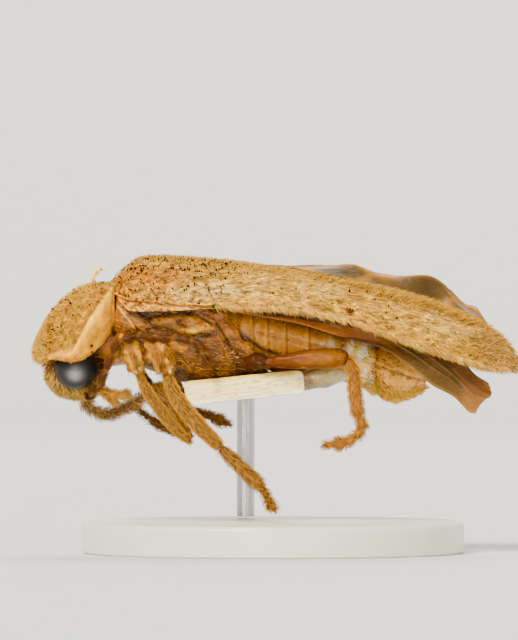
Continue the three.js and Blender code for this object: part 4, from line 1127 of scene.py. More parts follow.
# %% Colour of the abdomen and its light organ
SLIT_SHADE = [(2.22, 1.99), (2.34, 1.9), (2.48, 1.8), (2.72, 1.72), (2.95, 1.7)]  # painted shade of a gap behind the hind leg, which the skin doesn't have
x, y, z = three(grid)
organ = rises(x, 3.38, 0.08) * falls(x, 3.72, 0.1)
organ = np.maximum(organ, 0.7 * patch(x, 3.22, 0.1, z, 1.82, 0.09))
tone = glaze(one_colour(grid, 206, 146, 62), [
    (0.7 * mottle(grid, 0.22, 73, 0.35), (172, 106, 36)),
    (0.45 * band(share, 0, 0.05), (140, 80, 26)),
    (0.3 * band(share, 0.9, 0.08), (236, 184, 96)),
    # painted shadow of the wing cases on the upper part of the abdomen
    (0.7 * rises(z + 0.25 * (x - 2.6), 2.02, 0.12), (112, 62, 20)),
    (0.9 * rises(x, 3.72, 0.1), (255, 196, 136)),
    (0.6 * (x > 3.7) * (blotches(grid, 0.05, 76) > 0.7), (150, 88, 30)),
    (0.95 * organ * falls(z, 2.04, 0.2), (255, 216, 164)),
    (0.7 * organ * (blotches(grid, 0.06, 74) > 0.6), (255, 250, 236)),
    (0.35 * side_seam, (140, 84, 36)),
    (0.95 * close_to(side_view(grid), SLIT_SHADE, 0.028), (34, 16, 8)),
    (0.7 * falls(x, 2.6, 0.15) * (z < 1.76), (120, 62, 20)),
])
grid = rest_on_card(grid)
abdomen = ring_skin("abdomen_skin", grid, belly_finish, tone)
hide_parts("abdomen")
skins["abdomen"] = as_skin(grid, tone)
print("abdomen faces", len(abdomen.data.polygons))

# %% [markdown]
# ## Legs, feelers and mouth feelers
#
# All of these are limbs: a row of rings along a smooth path. A curve object with a bevel would be quicker,
# but its section stays round and its ends flat. Rings in code can flatten, swell, round off at the joints,
# and give each joint of a foot or a feeler its own cup. The path is a Catmull-Rom curve, the same as in the
# solid, so the limb passes through every joint.

# %% Smooth paths
SPAN_STEPS, PATH_STEPS = 40, 240


def smooth_path(points):
    """Evenly spaced points on a smooth curve through the given ones, their directions and its length."""
    p = np.array(points, float)
    p = np.vstack([2 * p[0] - p[1], p, 2 * p[-1] - p[-2]])
    places = []
    for a, b, c, d in zip(p[:-3], p[1:-2], p[2:-1], p[3:]):
        d0, d1, d2 = (max(np.linalg.norm(q - r) ** 0.5, 1e-6) for q, r in ((b, a), (c, b), (d, c)))
        out_of_b = ((b - a) / d0 - (c - a) / (d0 + d1) + (c - b) / d1) * d1
        into_c = ((c - b) / d1 - (d - b) / (d1 + d2) + (d - c) / d2) * d1
        t = np.linspace(0, 1, SPAN_STEPS, endpoint=False)[:, None]
        places.append((2 * t**3 - 3 * t**2 + 1) * b + (t**3 - 2 * t**2 + t) * out_of_b
                      + (3 * t**2 - 2 * t**3) * c + (t**3 - t**2) * into_c)
    places = np.vstack([*places, p[-2:-1]])
    places, length = evenly(places, PATH_STEPS)
    return places, unit(np.gradient(places, axis=0)), length


print("a path through two points:", smooth_path([[0, 0, 0], [1, 0, 0]])[2], "mm long")


# %% Rings along a path
def limb_rings(path, shares, halves, sides, depth, across):
    """Rings around a path. Angle 0 lies in the plane of the limb, a quarter turn points across it."""
    places, ahead, length = smooth_path(path)
    at = np.clip(shares, 0, 1) * (len(places) - 1)
    pick = np.arange(len(places))
    p, a = at_places(places, pick, at), unit(at_places(ahead, pick, at))
    p = p + a * ((shares - np.clip(shares, 0, 1)) * length)[:, None]
    wide = unit(np.cross(a, np.array(across, float)))
    through = np.cross(wide, a)
    angle = np.linspace(0, FULL_TURN, sides + 1)
    out, up = np.cos(angle)[None, :, None], np.sin(angle)[None, :, None]
    ring = wide[:, None] * out + depth * through[:, None] * up
    return p[:, None] + ring * halves[:, None, None], a, length


def rounded(sizes, shares, length):
    """Half widths that run through sizes and round off at both ends."""
    size = run(*[(i / (len(sizes) - 1), value) for i, value in enumerate(sizes)])(shares)
    reach_in = size / length
    near = np.clip(np.minimum(np.minimum(shares, 1 - shares), reach_in) / reach_in, 0, 1)
    return size * np.sqrt(np.maximum(1 - (1 - near) ** 2, 0.0004))


def across_of(path):
    """A direction that lies across a limb: upright for one that points sideways, else sideways."""
    way = np.array(path[-1], float) - np.array(path[0], float)
    return (0, 0, 1) if abs(way[1]) > 0.7 * np.linalg.norm(way) else (0, 1, 0)


def ends_close(count):
    """Shares of a path with rows closer together at both ends."""
    return 0.5 - 0.5 * np.cos(np.linspace(0, np.pi, count))


print("rows of a limb, closer at its ends:", ends_close(7).round(2))

# %% Places of the legs
LEGS = {
    "fore_left": {
        "coxa": [[0.99, -0.56, 1.98], [1.04, -0.7, 1.8], [1.15, -0.68, 1.53]],
        "femur": [[1.12, -0.68, 1.58], [1.22, -0.66, 1.36], [1.35, -0.63, 1.16], [1.51, -0.6, 0.96],
                  [1.7, -0.57, 0.79]],
        "tibia": [[1.71, -0.56, 0.82], [1.63, -0.54, 1.0], [1.47, -0.5, 1.2], [1.33, -0.46, 1.38]],
        "tarsus": [[1.33, -0.46, 1.38], [1.38, -0.35, 1.38], [1.48, -0.27, 1.33], [1.6, -0.24, 1.25]],
    },
    "fore_right": {
        "coxa": [[0.99, 0.52, 1.98], [1.04, 0.66, 1.8], [1.12, 0.64, 1.58]],
        "femur": [[1.12, 0.64, 1.58], [1.25, 0.6, 1.36], [1.36, 0.56, 1.18], [1.5, 0.5, 0.99],
                  [1.64, 0.44, 0.83]],
        "tibia": [[1.65, 0.43, 0.82], [1.47, 0.36, 0.9], [1.35, 0.31, 0.96], [1.25, 0.28, 1.03]],
        "tarsus": [[1.25, 0.28, 1.03], [1.17, 0.24, 1.09], [1.1, 0.2, 1.16], [1.02, 0.14, 1.2]],
    },
    "mid_left": {
        "coxa": [[1.29, -0.6, 1.96], [1.36, -0.76, 1.78], [1.46, -0.72, 1.51]],
        "femur": [[1.44, -0.72, 1.56], [1.52, -0.71, 1.34], [1.66, -0.7, 1.12], [1.85, -0.69, 0.91],
                  [2.03, -0.67, 0.73]],
        "tibia": [[2.03, -0.67, 0.73], [2.16, -0.68, 0.6], [2.33, -0.69, 0.44], [2.47, -0.7, 0.3]],
        "tarsus": [[2.47, -0.7, 0.3], [2.53, -0.74, 0.2], [2.58, -0.78, 0.1], [2.62, -0.83, 0.05]],
    },
    "mid_right": {
        "coxa": [[1.29, 0.56, 1.96], [1.36, 0.74, 1.78], [1.44, 0.72, 1.58]],
        "femur": [[1.44, 0.72, 1.58], [1.48, 0.82, 1.46], [1.53, 0.92, 1.33], [1.58, 1.0, 1.19]],
        "tibia": [[1.58, 1.0, 1.19], [1.61, 0.8, 1.11], [1.68, 0.55, 1.08], [1.75, 0.29, 1.08]],
        "tarsus": [[1.75, 0.29, 1.08], [1.86, 0.18, 1.07], [1.98, 0.08, 1.03], [2.12, -0.02, 0.97]],
    },
    "hind_left": {
        "coxa": [[2.14, -0.4, 1.66], [2.34, -0.62, 1.68], [2.52, -0.8, 1.65]],
        "femur": [[2.5, -0.78, 1.65], [2.75, -0.82, 1.67], [3.05, -0.83, 1.69], [3.42, -0.84, 1.71]],
        "tibia": [[3.41, -0.84, 1.7], [3.47, -0.84, 1.53], [3.49, -0.84, 1.31], [3.53, -0.84, 1.06]],
        "tarsus": [[3.53, -0.84, 1.06], [3.57, -0.84, 0.94], [3.5, -0.84, 0.85], [3.36, -0.84, 0.78],
                   [3.16, -0.84, 0.76]],
    },
    "hind_right": {
        "coxa": [[2.14, 0.4, 1.68], [2.34, 0.62, 1.7], [2.52, 0.78, 1.69]],
        "femur": [[2.52, 0.78, 1.69], [2.75, 0.85, 1.72], [3.0, 0.9, 1.75], [3.32, 0.95, 1.78]],
        "tibia": [[3.32, 0.95, 1.78], [3.55, 0.93, 1.71], [3.75, 0.88, 1.65], [3.95, 0.83, 1.58]],
        "tarsus": [[3.95, 0.83, 1.58], [4.08, 0.79, 1.55], [4.2, 0.74, 1.52], [4.34, 0.68, 1.5]],
    },
}
print("legs:", len(LEGS))

# %% Girth and tones of the legs
GIRTH = {  # half width in mm of coxa, femur, tibia and foot
    "fore": (0.12, 0.056, 0.04, 0.032),
    "mid": (0.13, 0.078, 0.064, 0.044),
    "hind": (0.12, 0.094, 0.06, 0.05),
}
SWELL = {  # how the half width changes from root to tip
    "coxa": (0.9, 1.05, 0.9, 0.5), "femur": (0.62, 0.95, 1.06, 1, 0.8), "tibia": (0.75, 0.92, 1, 1.1),
    "hind femur": (0.42, 0.8, 1.1, 1.16, 0.95),
}
LEG_TONES = {
    "fore": {"coxa": (150, 102, 38), "femur": (112, 76, 28), "tibia": (90, 56, 28), "tarsus": (100, 64, 34)},
    "mid": {"coxa": (138, 90, 34), "femur": (118, 80, 26), "tibia": (92, 60, 24), "tarsus": (104, 70, 32)},
    "hind": {"coxa": (66, 36, 12), "femur": (94, 56, 2), "tibia": (134, 84, 32), "tarsus": (150, 98, 42)},
}


def amber_thigh(grid, shares, angle, tone, seed):
    """Amber along the upper side, dark at the root, mottled, with a few dark specks at the knee."""
    glow = np.clip(np.sin(angle), 0, 1) ** 2 * (0.4 + 0.6 * blotches(grid, (0.2, 0.1, 0.06), seed + 5))
    return glaze(tone, [
        (0.8 * glow, (152, 100, 8)),
        (1.4 * falls(shares, 0.5, 1), (74, 34, 6)),
        (0.8 * rises(shares, 0.35, 0.6), (146, 96, 8)),
        (1.6 * mottle(grid, (0.22, 0.06, 0.05), seed + 6, 0.45), (96, 46, 4)),
        (0.7 * rises(shares, 0.8, 0.12) * (blotches(grid, 0.03, seed + 7) > 0.6), (84, 42, 10)),
    ])


def coxa_highlights_and_blots(grid, shares, angle, tone, base, seed):
    """Painted highlights as pale streaks along it, dark blots, and a pale patch at its end."""
    streaks = np.clip(np.sin(angle * 5 + seed) * 1.5 + 2 * blotches(grid, 0.08, seed + 2) - 1.2, 0, 1)
    tone = tint(tone, 0.7 * streaks, shade(232, 176, 88))
    tone = tint(tone, 0.8 * (blotches(grid, (0.05, 0.05, 0.12), seed + 3) > 0.66), base * 0.35)
    pale = rises(shares, 0.78, 0.1) * (blotches(grid, 0.04, seed + 1) > 0.55)
    return tint(tone, 0.7 * pale, shade(250, 232, 196))


def leg_tone(grid, shares, name, seed):
    """Painted light along both edges of the limb and painted shade along its middle, and dark joints."""
    pair, part = name
    base = shade(*LEG_TONES[pair][part])
    shares, angle = shares[:, None], np.linspace(0, FULL_TURN, grid.shape[1])[None]
    tone = np.broadcast_to(base, grid.shape).copy()
    tone = tint(tone, 0.6 * mottle(grid, (0.06, 0.1, 0.1), seed, 0.35), base * 0.55)
    if part == "femur" and pair != "hind":
        # painted light along both edges of the thigh, painted shade along its middle
        tone = tint(tone, 0.8 * band(np.abs(np.cos(angle)), 1, 0.16), shade(226, 172, 82))
        tone = tint(tone, 0.5 * band(np.cos(angle), 0, 0.35), base * 0.5)
    if part == "femur" and pair == "hind":
        tone = amber_thigh(grid, shares, angle, tone, seed)
    tone = tint(tone, 0.55 * band(np.minimum(shares, 1 - shares), 0, 0.035), base * 0.4)
    if part == "coxa" and pair != "hind":
        tone = coxa_highlights_and_blots(grid, shares, angle, tone, base, seed)
    return tone


print("leg tones:", sum(len(tones) for tones in LEG_TONES.values()))

# %% Build the legs
LEG_ROWS, LEG_SIDES, LEG_DEPTH = 71, 40, 0.85
leg_skins = []
for number, (name, leg) in enumerate(LEGS.items()):
    pair = name.split("_")[0]
    for part, half in zip(("coxa", "femur", "tibia"), GIRTH[pair]):
        shares = ends_close(LEG_ROWS)
        path = leg[part]
        length = smooth_path(path)[2]
        swell = SWELL.get(f"{pair} {part}", SWELL[part])
        halves = rounded([half * size for size in swell], shares, length)
        grid, ahead, length = limb_rings(path, shares, halves, LEG_SIDES, LEG_DEPTH, across_of(path))
        out = outward(grid)
        lumps = (0.5 if part == "coxa" else 0.14) * half * mottle(grid, 0.06, 80 + number)
        groove = -0.08 * half * band(np.cos(np.linspace(0, FULL_TURN, LEG_SIDES + 1)), 0, 0.3)[None]
        grid = grid + out * (lumps + groove * np.sin(np.pi * shares)[:, None])[..., None]
        tone = leg_tone(grid, shares, (pair, part), 100 + number * 4)
        amber = pair == "hind" and part in ("coxa", "femur")
        piece = ring_skin(f"leg_skin_{name}_{part}", grid, amber_finish if amber else leg_finish, tone)
        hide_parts(f"leg_{name}_{part}")
        leg_skins.append({"name": name, "part": part, "grid": grid, "out": out, "tone": tone, "ahead": ahead,
                          "area": length * half})
print("leg skins:", len(leg_skins))

# %% [markdown]
# ## Feet
#
# A firefly's foot has five joints, each a little cup that the next one stands in. The fourth is split into
# two broad lobes, and the last carries two curved claws. The cups are one profile repeated along the path.

# %% Cups and claws
CUP = [(0.06, 1), (0.3, 0.82), (0.6, 0.95), (0.85, 1.0), (0.94, 0.98), (0.985, 0.6)]  # place and size
HOOK = [(-0.5, 0.0, 0.0), (0.5, 0.45, 0.05), (1.1, 0.62, 0.3), (1.5, 0.66, 0.75)]  # forth, aside and down
HOOK_STEPS, HOOK_SIDES = 14, 8


def cups(count, narrow=0.55):
    """Shares and sizes of rings for joints in a row, each narrow at its root and widest near its end."""
    profile = [(0.0, narrow * 0.7), (CUP[0][0], narrow), *CUP[1:]]
    shares = [(i + share) / count for i in range(count) for share, _ in profile]
    sizes = [size for _ in range(count) for _, size in profile]
    number = np.repeat(np.arange(count), len(profile))
    return np.array(shares + [1.0]), np.array(sizes + [0.3]), np.append(number, count - 1)


def claws(path, half, across):
    places, ahead, _ = smooth_path(path)
    tip, forth = places[int(0.97 * (len(places) - 1))], ahead[-1]
    aside = np.array(across, float)
    down = np.cross(forth, aside)
    down = down / np.linalg.norm(down)
    down = -down if down[2] > 0 else down
    hooks = []
    for side in (-1, 1):
        points = [tip + half * (a * forth + side * b * aside + c * down) for a, b, c in HOOK]
        shares = np.linspace(0, 1, HOOK_STEPS)
        halves = 0.3 * half * (1 - shares) ** 0.8 + 0.001
        hooks.append(limb_rings(points, shares, halves, HOOK_SIDES, 1, across)[0])
    return hooks


print("rings of a foot:", len(cups(5)[0]))


# %% Limbs joined into one mesh
def many_rings(name, grids, tones, material):
    """Several closed limbs joined into one mesh."""
    places, shades, faces, count = [], [], [], 0
    for grid, tone in zip(grids, tones):
        rows, sides = grid.shape[0] - 1, grid.shape[1] - 1
        faces += ring_cells(rows, sides, count)
        last = count + rows * sides
        faces += [list(range(count + sides - 1, count - 1, -1)), list(range(last, last + sides))]
        places.append(grid[:, :-1].reshape(-1, 3))
        shades.append(tone[:, :-1].reshape(-1, 3))
        count += len(places[-1])
    piece = add_piece(name, np.concatenate(places), faces, material, np.concatenate(shades))
    bpy.context.view_layer.objects.active = piece
    bpy.ops.object.select_all(action="DESELECT")
    piece.select_set(True)
    bpy.ops.object.mode_set(mode="EDIT")
    bpy.ops.mesh.select_all(action="SELECT")
    bpy.ops.mesh.normals_make_consistent(inside=False)
    bpy.ops.object.mode_set(mode="OBJECT")
    return piece


print("claws for each foot:", len(claws(LEGS["mid_left"]["tarsus"], 0.044, (0, 1, 0))))

# %% Build the feet
FOOT_JOINTS = np.array([1, 0.92, 0.95, 1.25, 0.62])
CUP_SIDES = 24
HOOK_TONE = (120, 66, 28)
for number, (name, leg) in enumerate(LEGS.items()):
    pair = name.split("_")[0]
    half, path = GIRTH[pair][3], leg["tarsus"]
    across = across_of(path)
    shares, sizes, joint = cups(len(FOOT_JOINTS))
    sizes = sizes * FOOT_JOINTS[joint] * half
    grid, ahead, length = limb_rings(path, shares, sizes, CUP_SIDES, 1.1, across)
    tone = leg_tone(grid, shares, (pair, "tarsus"), 130 + number * 4)
    hooks = claws(path, half, across)
    hook_tones = [one_colour(hook, *HOOK_TONE) for hook in hooks]
    piece = many_rings(f"foot_{name}", [grid, *hooks], [tone, *hook_tones], leg_finish)
    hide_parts(f"leg_{name}_tarsus")
    leg_skins.append(as_skin(grid, tone, name=name, part="tarsus", ahead=ahead, area=length * half))
print("feet with claws:", len(LEGS))

# %% [markdown]
# ## The feelers
#
# Each feeler is a string of eleven joints, the first one stout and the second one short. The left one is
# dark and lies back along the thorax, the right one is paler and hairy and points to the tail under the
# head. They could be copies of one mesh along a curve, but the same cups as in the feet follow their bends.

# %% Feelers
FEELERS = {
    "left": {
        "half": 0.031, "tone": (66, 38, 26), "slot": "feeler_dark",
        "path": [[0.57, -0.27, 1.27], [0.62, -0.45, 1.3], [0.69, -0.6, 1.38], [0.78, -0.7, 1.55],
                 [0.85, -0.76, 1.74], [0.92, -0.8, 1.86], [1.04, -0.82, 1.93], [1.2, -0.84, 1.95],
                 [1.46, -0.86, 1.92], [1.68, -0.87, 1.9], [1.79, -0.87, 1.86], [1.84, -0.86, 1.76],
                 [1.9, -0.84, 1.61]],
    },
    "right": {
        "half": 0.041, "tone": (104, 68, 50), "slot": "feeler_brown",
        "path": [[0.53, -0.04, 1.25], [0.57, 0.0, 1.18], [0.64, 0.02, 1.11], [0.76, 0.03, 1.08],
                 [0.9, -0.02, 1.11], [1.03, -0.04, 1.17], [1.14, -0.04, 1.23], [1.26, -0.02, 1.31],
                 [1.4, 0, 1.37]],
    },
}
feeler_skins = []
for side, feeler in FEELERS.items():
    shares, sizes, joint = cups(11, narrow=0.6)
    sizes = sizes * np.where(joint == 1, 0.8, np.where(joint == 0, 1.15, 1)) * feeler["half"]
    grid, ahead, _ = limb_rings(feeler["path"], shares, sizes, CUP_SIDES, 1, (0, 1, 0))
    base = shade(*feeler["tone"])
    tone = np.broadcast_to(base, grid.shape).copy()
    tone = tint(tone, 0.6 * mottle(grid, 0.05, 151, 0.3), base * 0.6)
    tone = tint(tone, 0.5 * (sizes < 0.7 * feeler["half"])[:, None], shade(190, 140, 100))
    piece = many_rings(f"feeler_{side}", [grid], [tone], feeler_finish)
    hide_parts(*[f"antenna_{side}_{part}" for part in ("base", "middle", "end")])
    feeler_skins.append(as_skin(grid, tone, ahead=ahead))
print("feelers:", len(feeler_skins))

# %% [markdown]
# ## The mouth feelers
#
# Four short pale feelers hang from the mouth, a longer and a shorter pair, with three joints each and the
# last joint the broadest. Only the left ones are seen, so the right ones are mirrored.

# %% Mouth feelers
PALPS = {  # half width in mm, and the path of the right one, measured across from the middle of the head
    "maxillary": (0.036, [[0.68, 0.1, 1.36], [0.8, 0.14, 1.33], [0.92, 0.13, 1.29], [1.02, 0.11, 1.3]]),
    "labial": (0.026, [[0.7, 0.04, 1.33], [0.78, 0.05, 1.28], [0.88, 0.05, 1.22]]),
}
PALP_JOINTS = np.array([0.7, 0.85, 1.15])
palp_skins = []
for name, (half, path) in PALPS.items():
    for side, sign in (("left", -1), ("right", 1)):
        placed = [[x, HEAD_MIDDLE + sign * y, z] for x, y, z in path]
        shares, sizes, joint = cups(len(PALP_JOINTS))
        sizes = sizes * PALP_JOINTS[joint] * half
        grid, ahead, _ = limb_rings(placed, shares, sizes, 20, 1, (0, 1, 0))
        tone = one_colour(grid, 224, 152, 64)
        tone = tint(tone, 0.8 * mottle(grid, 0.06, 155, 0.3), shade(250, 206, 122))
        piece = many_rings(f"mouth_feeler_{name}_{side}", [grid], [tone], leg_finish)
        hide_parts(f"palp_{name}_{side}")
        palp_skins.append(as_skin(grid, tone, ahead=ahead))
print("mouth feelers:", len(palp_skins))

# %% [markdown]
# ## The coat of hairs
#
# Seen at this size the beetle looks velvety because thousands of pale hairs lie back over its skin. Particle
# hair would be the quick way, but it doesn't survive an export, so each hair is a thin closed spike of real
# mesh, and all the hairs of one part are one object. Roots are scattered by area over the grid of the skin.
# Each hair leans the way the coat lies, lifts a little and droops at its tip. Its patch on the map named
# OFBake sits where its root lies on the flattened skin.

# %% Picking places on a skin
QUICK = 1.0


def pick_cells(rng, grid, count, where=None):
    """Rows and columns of random cells, picked by area and by how much each place is wanted."""
    a, b = grid[1:, :-1] - grid[:-1, :-1], grid[:-1, 1:] - grid[:-1, :-1]
    area = np.linalg.norm(np.cross(a, b), axis=-1)
    if where is not None:
        area = area * where[:-1, :-1]
    pick = rng.choice(area.size, size=count, p=area.ravel() / area.sum())
    return np.divmod(pick, grid.shape[1] - 1)


def value_at(rule, root):
    """A bed's length, lift or lie is one value for all hairs, or a rule that looks at their roots."""
    return rule(root) if callable(rule) else rule


def hair_bed(skin, count, lie, length, width, lift, sheet, **more):
    """A bed of hairs. The sheet is its part of the unwrap, as (left, bottom, right, top)."""
    return {**skin, "count": int(count * QUICK), "lie": lie, "length": length, "width": width, "lift": lift,
            "sheet": sheet, **more}


print("share of the hairs that is grown:", QUICK)

# %% Roots, ways and colours of one bed
STRAY, STRAY_LIFT = 0.18, 7  # sideways as a share of the length, and up in degrees
PALE, PATCHES = 0.45, 0.9
HAIR_HUE = (226, 196, 148)
CLUMP = (0.09, 0.026, 0.026)
SPIKE_LEVELS = ((0.0, 1.0), (0.5, 0.8))  # place along the hair and thickness, before the tip
SPIKE_TURNS = (0.0, 2.094, 4.189)
# painted shade at the root of each hair, painted light towards its tip
SPIKE_LIGHT = np.array([0.8, 0.8, 0.8, 1.05, 1.05, 1.05, 1.2])
SPIKE_FACES = np.array([[0, 1, 4], [0, 4, 3], [1, 2, 5], [1, 5, 4], [2, 0, 3], [2, 3, 5], [3, 4, 6],
                        [4, 5, 6], [5, 3, 6]])
SPIKE_SPOTS = np.array([[0, 0], [0.5, 0], [1, 0], [0, 0.6], [0.5, 0.6], [1, 0.6], [0.5, 1]]) - 0.5
SPIKE_PATCH = 0.003


def spikes(rng, bed, root, normal):
    """Seven points for each hair: a triangle at the root, one half way up and the tip."""
    count = len(root)
    way = value_at(bed["lie"], root) + rng.normal(0, bed.get("stray", STRAY), root.shape)
    way = unit(way - np.sum(way * normal, axis=1, keepdims=True) * normal, 1e-9)
    length = value_at(bed["length"], root) * rng.uniform(0.7, 1.2, count)
    lift = np.radians(bed["lift"] + rng.normal(0, STRAY_LIFT, count))
    width = bed["width"] * rng.uniform(0.8, 1.15, count)
    side = np.cross(normal, way)
    levels = []
    for step, thick in SPIKE_LEVELS:
        up = np.sin(lift) * (1.25 - 0.5 * step) * (step > 0)
        spine = root + (length * step)[:, None] * (way * np.cos(lift)[:, None] + normal * up[:, None])
        spine = spine - normal * 0.002 * (step == 0)
        for turn in SPIKE_TURNS:
            aside = side * math.cos(turn) + normal * math.sin(turn)
            levels.append(spine + (width * thick)[:, None] * aside)
    tip = way * np.cos(lift)[:, None] + normal * (np.sin(lift) * 0.75)[:, None]
    return np.stack([*levels, root + length[:, None] * tip], axis=1)


def spike_tones(rng, bed, root, colour):
    """The tone of the skin mixed with the hairs' own hue, brighter in some clumps, with painted shade at the
    root and painted light towards the tip.
    """
    patchy = blotches(root, CLUMP, 7)
    bright = rng.uniform(0.5, 1.4, len(root)) * (1 + bed.get("patches", PATCHES) * (patchy - 0.5))
    mix = bed.get("pale", PALE)
    mixed = colour * (1 - mix) + shade(*bed.get("hue", HAIR_HUE)) * mix
    return mixed[:, None, :] * bright[:, None, None] * SPIKE_LIGHT[None, :, None]


print("triangles of one hair:", len(SPIKE_FACES))


# %% A helper that grows hairs on skins
def grow_hairs(name, beds, seed):
    """One object for all the beds of hairs, with the place of each root on the map OFBake."""
    rng = np.random.default_rng(seed)
    places, tones, patches = [], [], []
    for bed in beds:
        grid, count = bed["grid"], bed["count"]
        i, j = pick_cells(rng, grid, count, bed.get("where"))
        s, t = rng.random(count), rng.random(count)
        shares = [(i, j, (1 - s) * (1 - t)), (i + 1, j, s * (1 - t)),
                  (i, j + 1, (1 - s) * t), (i + 1, j + 1, s * t)]
        root, normal, colour = (sum(share[:, None] * values[row, column] for row, column, share in shares)
                                for values in (grid, bed["out"], bed["tone"]))
        places.append(spikes(rng, bed, root, unit(normal)))
        tones.append(spike_tones(rng, bed, root, colour))
        left, bottom, right, top = bed["sheet"]
        along, around = (i + s) / (grid.shape[0] - 1), (j + t) / (grid.shape[1] - 1)
        patches.append(np.stack([left + (right - left) * along, bottom + (top - bottom) * around], axis=-1))
    places, tones, patches = (np.concatenate(x) for x in (places, tones, patches))
    count = len(places)
    faces = (SPIKE_FACES[None] + 7 * np.arange(count)[:, None, None]).reshape(-1, 3)
    piece = add_piece(name, places.reshape(-1, 3), faces.tolist(), hair_finish, tones.reshape(-1, 3))
    layer = piece.data.uv_layers.new(name="OFBake")
    uv = patches[:, None, :] + SPIKE_PATCH * SPIKE_SPOTS[None]
    layer.data.foreach_set("uv", uv.reshape(-1, 2)[faces.ravel()].astype(np.float32).ravel())
    print(name, "hairs", count, "triangles", count * len(SPIKE_FACES))
    return piece


def lie_back(root):
    """Towards the tail and a little down the sides."""
    return np.stack([np.ones(len(root)), 0.12 * np.sign(root[:, 1]), np.zeros(len(root))], axis=-1)


# %% [markdown]
# ## Hairs of the wing cases
#
# Short hairs lie flat all over a wing case and give it its velvet. Longer ones stand out as a comb along the
# rim, as a crest along the seam, and as a tuft at the tip. They could all be one bed, but four beds with
# their own length, lift and colour keep the outline as ragged as it is on the real one.

# %% Hairs of the wing cases
WHOLE_SHEET = (0.02, 0.02, 0.98, 0.98)


def crest_length(root):
    return 0.095 + 0.045 * rises(root[:, 0], 2.6, 0.8)


def case_hair_length(root):
    return 0.065 + 0.03 * rises(root[:, 0], 4.3, 0.6) - 0.015 * falls(root[:, 0], 1.6, 0.6)


for side, seed in (("left", 201), ("right", 202)):
    skin = skins[f"wing_case_{side}"]
    v, x = skin["v"], skin["grid"][..., 0]
    below_rim = (v - case_fold(x)) / 0.01
    above = 1 - (0.6 + 0.35 * (x < 2.2)) * np.clip(below_rim + 1.5, 0, 1)
    comb = band(v, case_fold(x) + 0.005, 0.02) * rises(x, 1.9, 0.5)
    crest = band(v, 0.12 + 0.1 * (x > 3.6), 0.14) * (1 + 1.5 * rises(x, 3.2, 0.8))
    coat = grow_hairs(f"wing_case_hair_{side}", [
        hair_bed(skin, 21500, lie_back, case_hair_length, 0.0023, 12, WHOLE_SHEET, patches=0.7, stray=0.3,
                 pale=0.26, hue=(228, 190, 118), where=above),
    ], seed)
    coat = grow_hairs(f"wing_case_fringe_{side}", [
        hair_bed(skin, 2400, (1.0, 0, -1.1), 0.11, 0.004, 28, WHOLE_SHEET, stray=0.25, pale=0.85,
                 hue=(236, 190, 136), where=comb),
        hair_bed(skin, 3200, lie_back, crest_length, 0.0042, 46, WHOLE_SHEET, stray=0.35, pale=0.8,
                 hue=(188, 146, 88), where=crest),
        hair_bed(skin, 1500, lie_back, 0.1, 0.0046, 34, WHOLE_SHEET, stray=0.5, pale=0.75,
                 hue=(206, 166, 124), where=rises(x, 4.7, 0.3) + 1e-6),
    ], seed + 5)

# %% [markdown]
# ## Hairs of the pronotum and the head
#
# On the pronotum the hairs lie outwards from the middle line, longer ones stand out over its front lip, and a
# few hang below its keel. The small scutellum has a short coat. On the head they lie round the eye. One rule
# for the whole body would comb them all to the tail, so these two pieces have their own.

# %% Hairs of the pronotum and scutellum
SHIELD_SHEET, SCUTELLUM_SHEET = (0.02, 0.02, 0.7, 0.7), (0.72, 0.72, 0.98, 0.98)
SHIELD_MIDDLE = -0.17
skin = skins["pronotum"]
x, y, z = three(skin["grid"])
turn = np.sin(np.linspace(0, FULL_TURN, x.shape[1]))
on_top = (turn > 0.12)[None] * np.ones(x.shape)
below_keel = (z < 1.73) * (x > 0.2) * (x < 0.62) * (y < -0.5)


def lie_of_shield(root):
    outwards = 0.5 * np.sign(root[:, 1] - SHIELD_MIDDLE)
    return np.stack([np.full(len(root), 0.75), outwards, np.full(len(root), -0.35)], axis=-1)


coat = grow_hairs("pronotum_hair", [
    hair_bed(skin, 12500, lie_of_shield, 0.055, 0.0024, 26, SHIELD_SHEET, stray=0.45, pale=0.4,
             hue=(228, 184, 104), where=on_top),
    hair_bed(skin, 4000, (-1.0, 0, 0.3), 0.08, 0.004, 52, SHIELD_SHEET, stray=0.8, pale=0.75,
             hue=(206, 164, 102), where=(x < 0.16) * 1.0 + 0.17 * on_top),
    hair_bed(skin, 420, (0.2, 0, -1.0), 0.035, 0.003, 20, SHIELD_SHEET, stray=0.3, pale=0.8,
             hue=(230, 180, 96), where=below_keel + 1e-6),
    hair_bed(skins["scutellum"], 900, lie_back, 0.05, 0.0022, 20, SCUTELLUM_SHEET),
], 211)

# %% Hairs of the head
x, _, z = three(skins["head"]["grid"])


def lie_round_eye(root):
    return np.stack([0.25 - (root[:, 0] - 0.45), 0 * root[:, 0], -0.6 - (1.6 - root[:, 2])], axis=-1)


coat = grow_hairs("head_hair", [
    hair_bed(skins["head"], 3000, lie_round_eye, 0.09, 0.0038, 48, WHOLE_SHEET, stray=0.35, pale=0.8,
             hue=(214, 176, 122), where=(z < 1.74) * 1.0 * (x < 0.66) + 0.12),
], 221)

# %% [markdown]
# ## Hairs of the legs and feelers
#
# Bristles stand along every leg piece and point to its tip, short on the thigh and longer on shin and foot.
# The amber hind thigh is nearly bare. Each piece gets its own square of the unwrap, five in a row. Hairs on
# the left legs, which catch the light, are painted paler as painted light, and those on the right darker as
# painted shade.

# %% Hairs of the legs
LEG_HAIR = {  # length, lift in degrees, and how many for each square of skin
    "coxa": (0.08, 30, 0.3), "femur": (0.07, 14, 0.9), "tibia": (0.085, 28, 1.1), "tarsus": (0.075, 38, 1.8),
}
# hair hues: painted light on the left legs, painted shade on the right ones
LIT_SIDE_HUE, SHADED_SIDE_HUE = (226, 174, 118), (176, 134, 90)
LEG_HAIRS, NEARLY_BARE = 22000, 0.01
SHEETS_IN_A_ROW, SHEET_STEP, SHEET_EDGE = 5, 0.2, 0.005


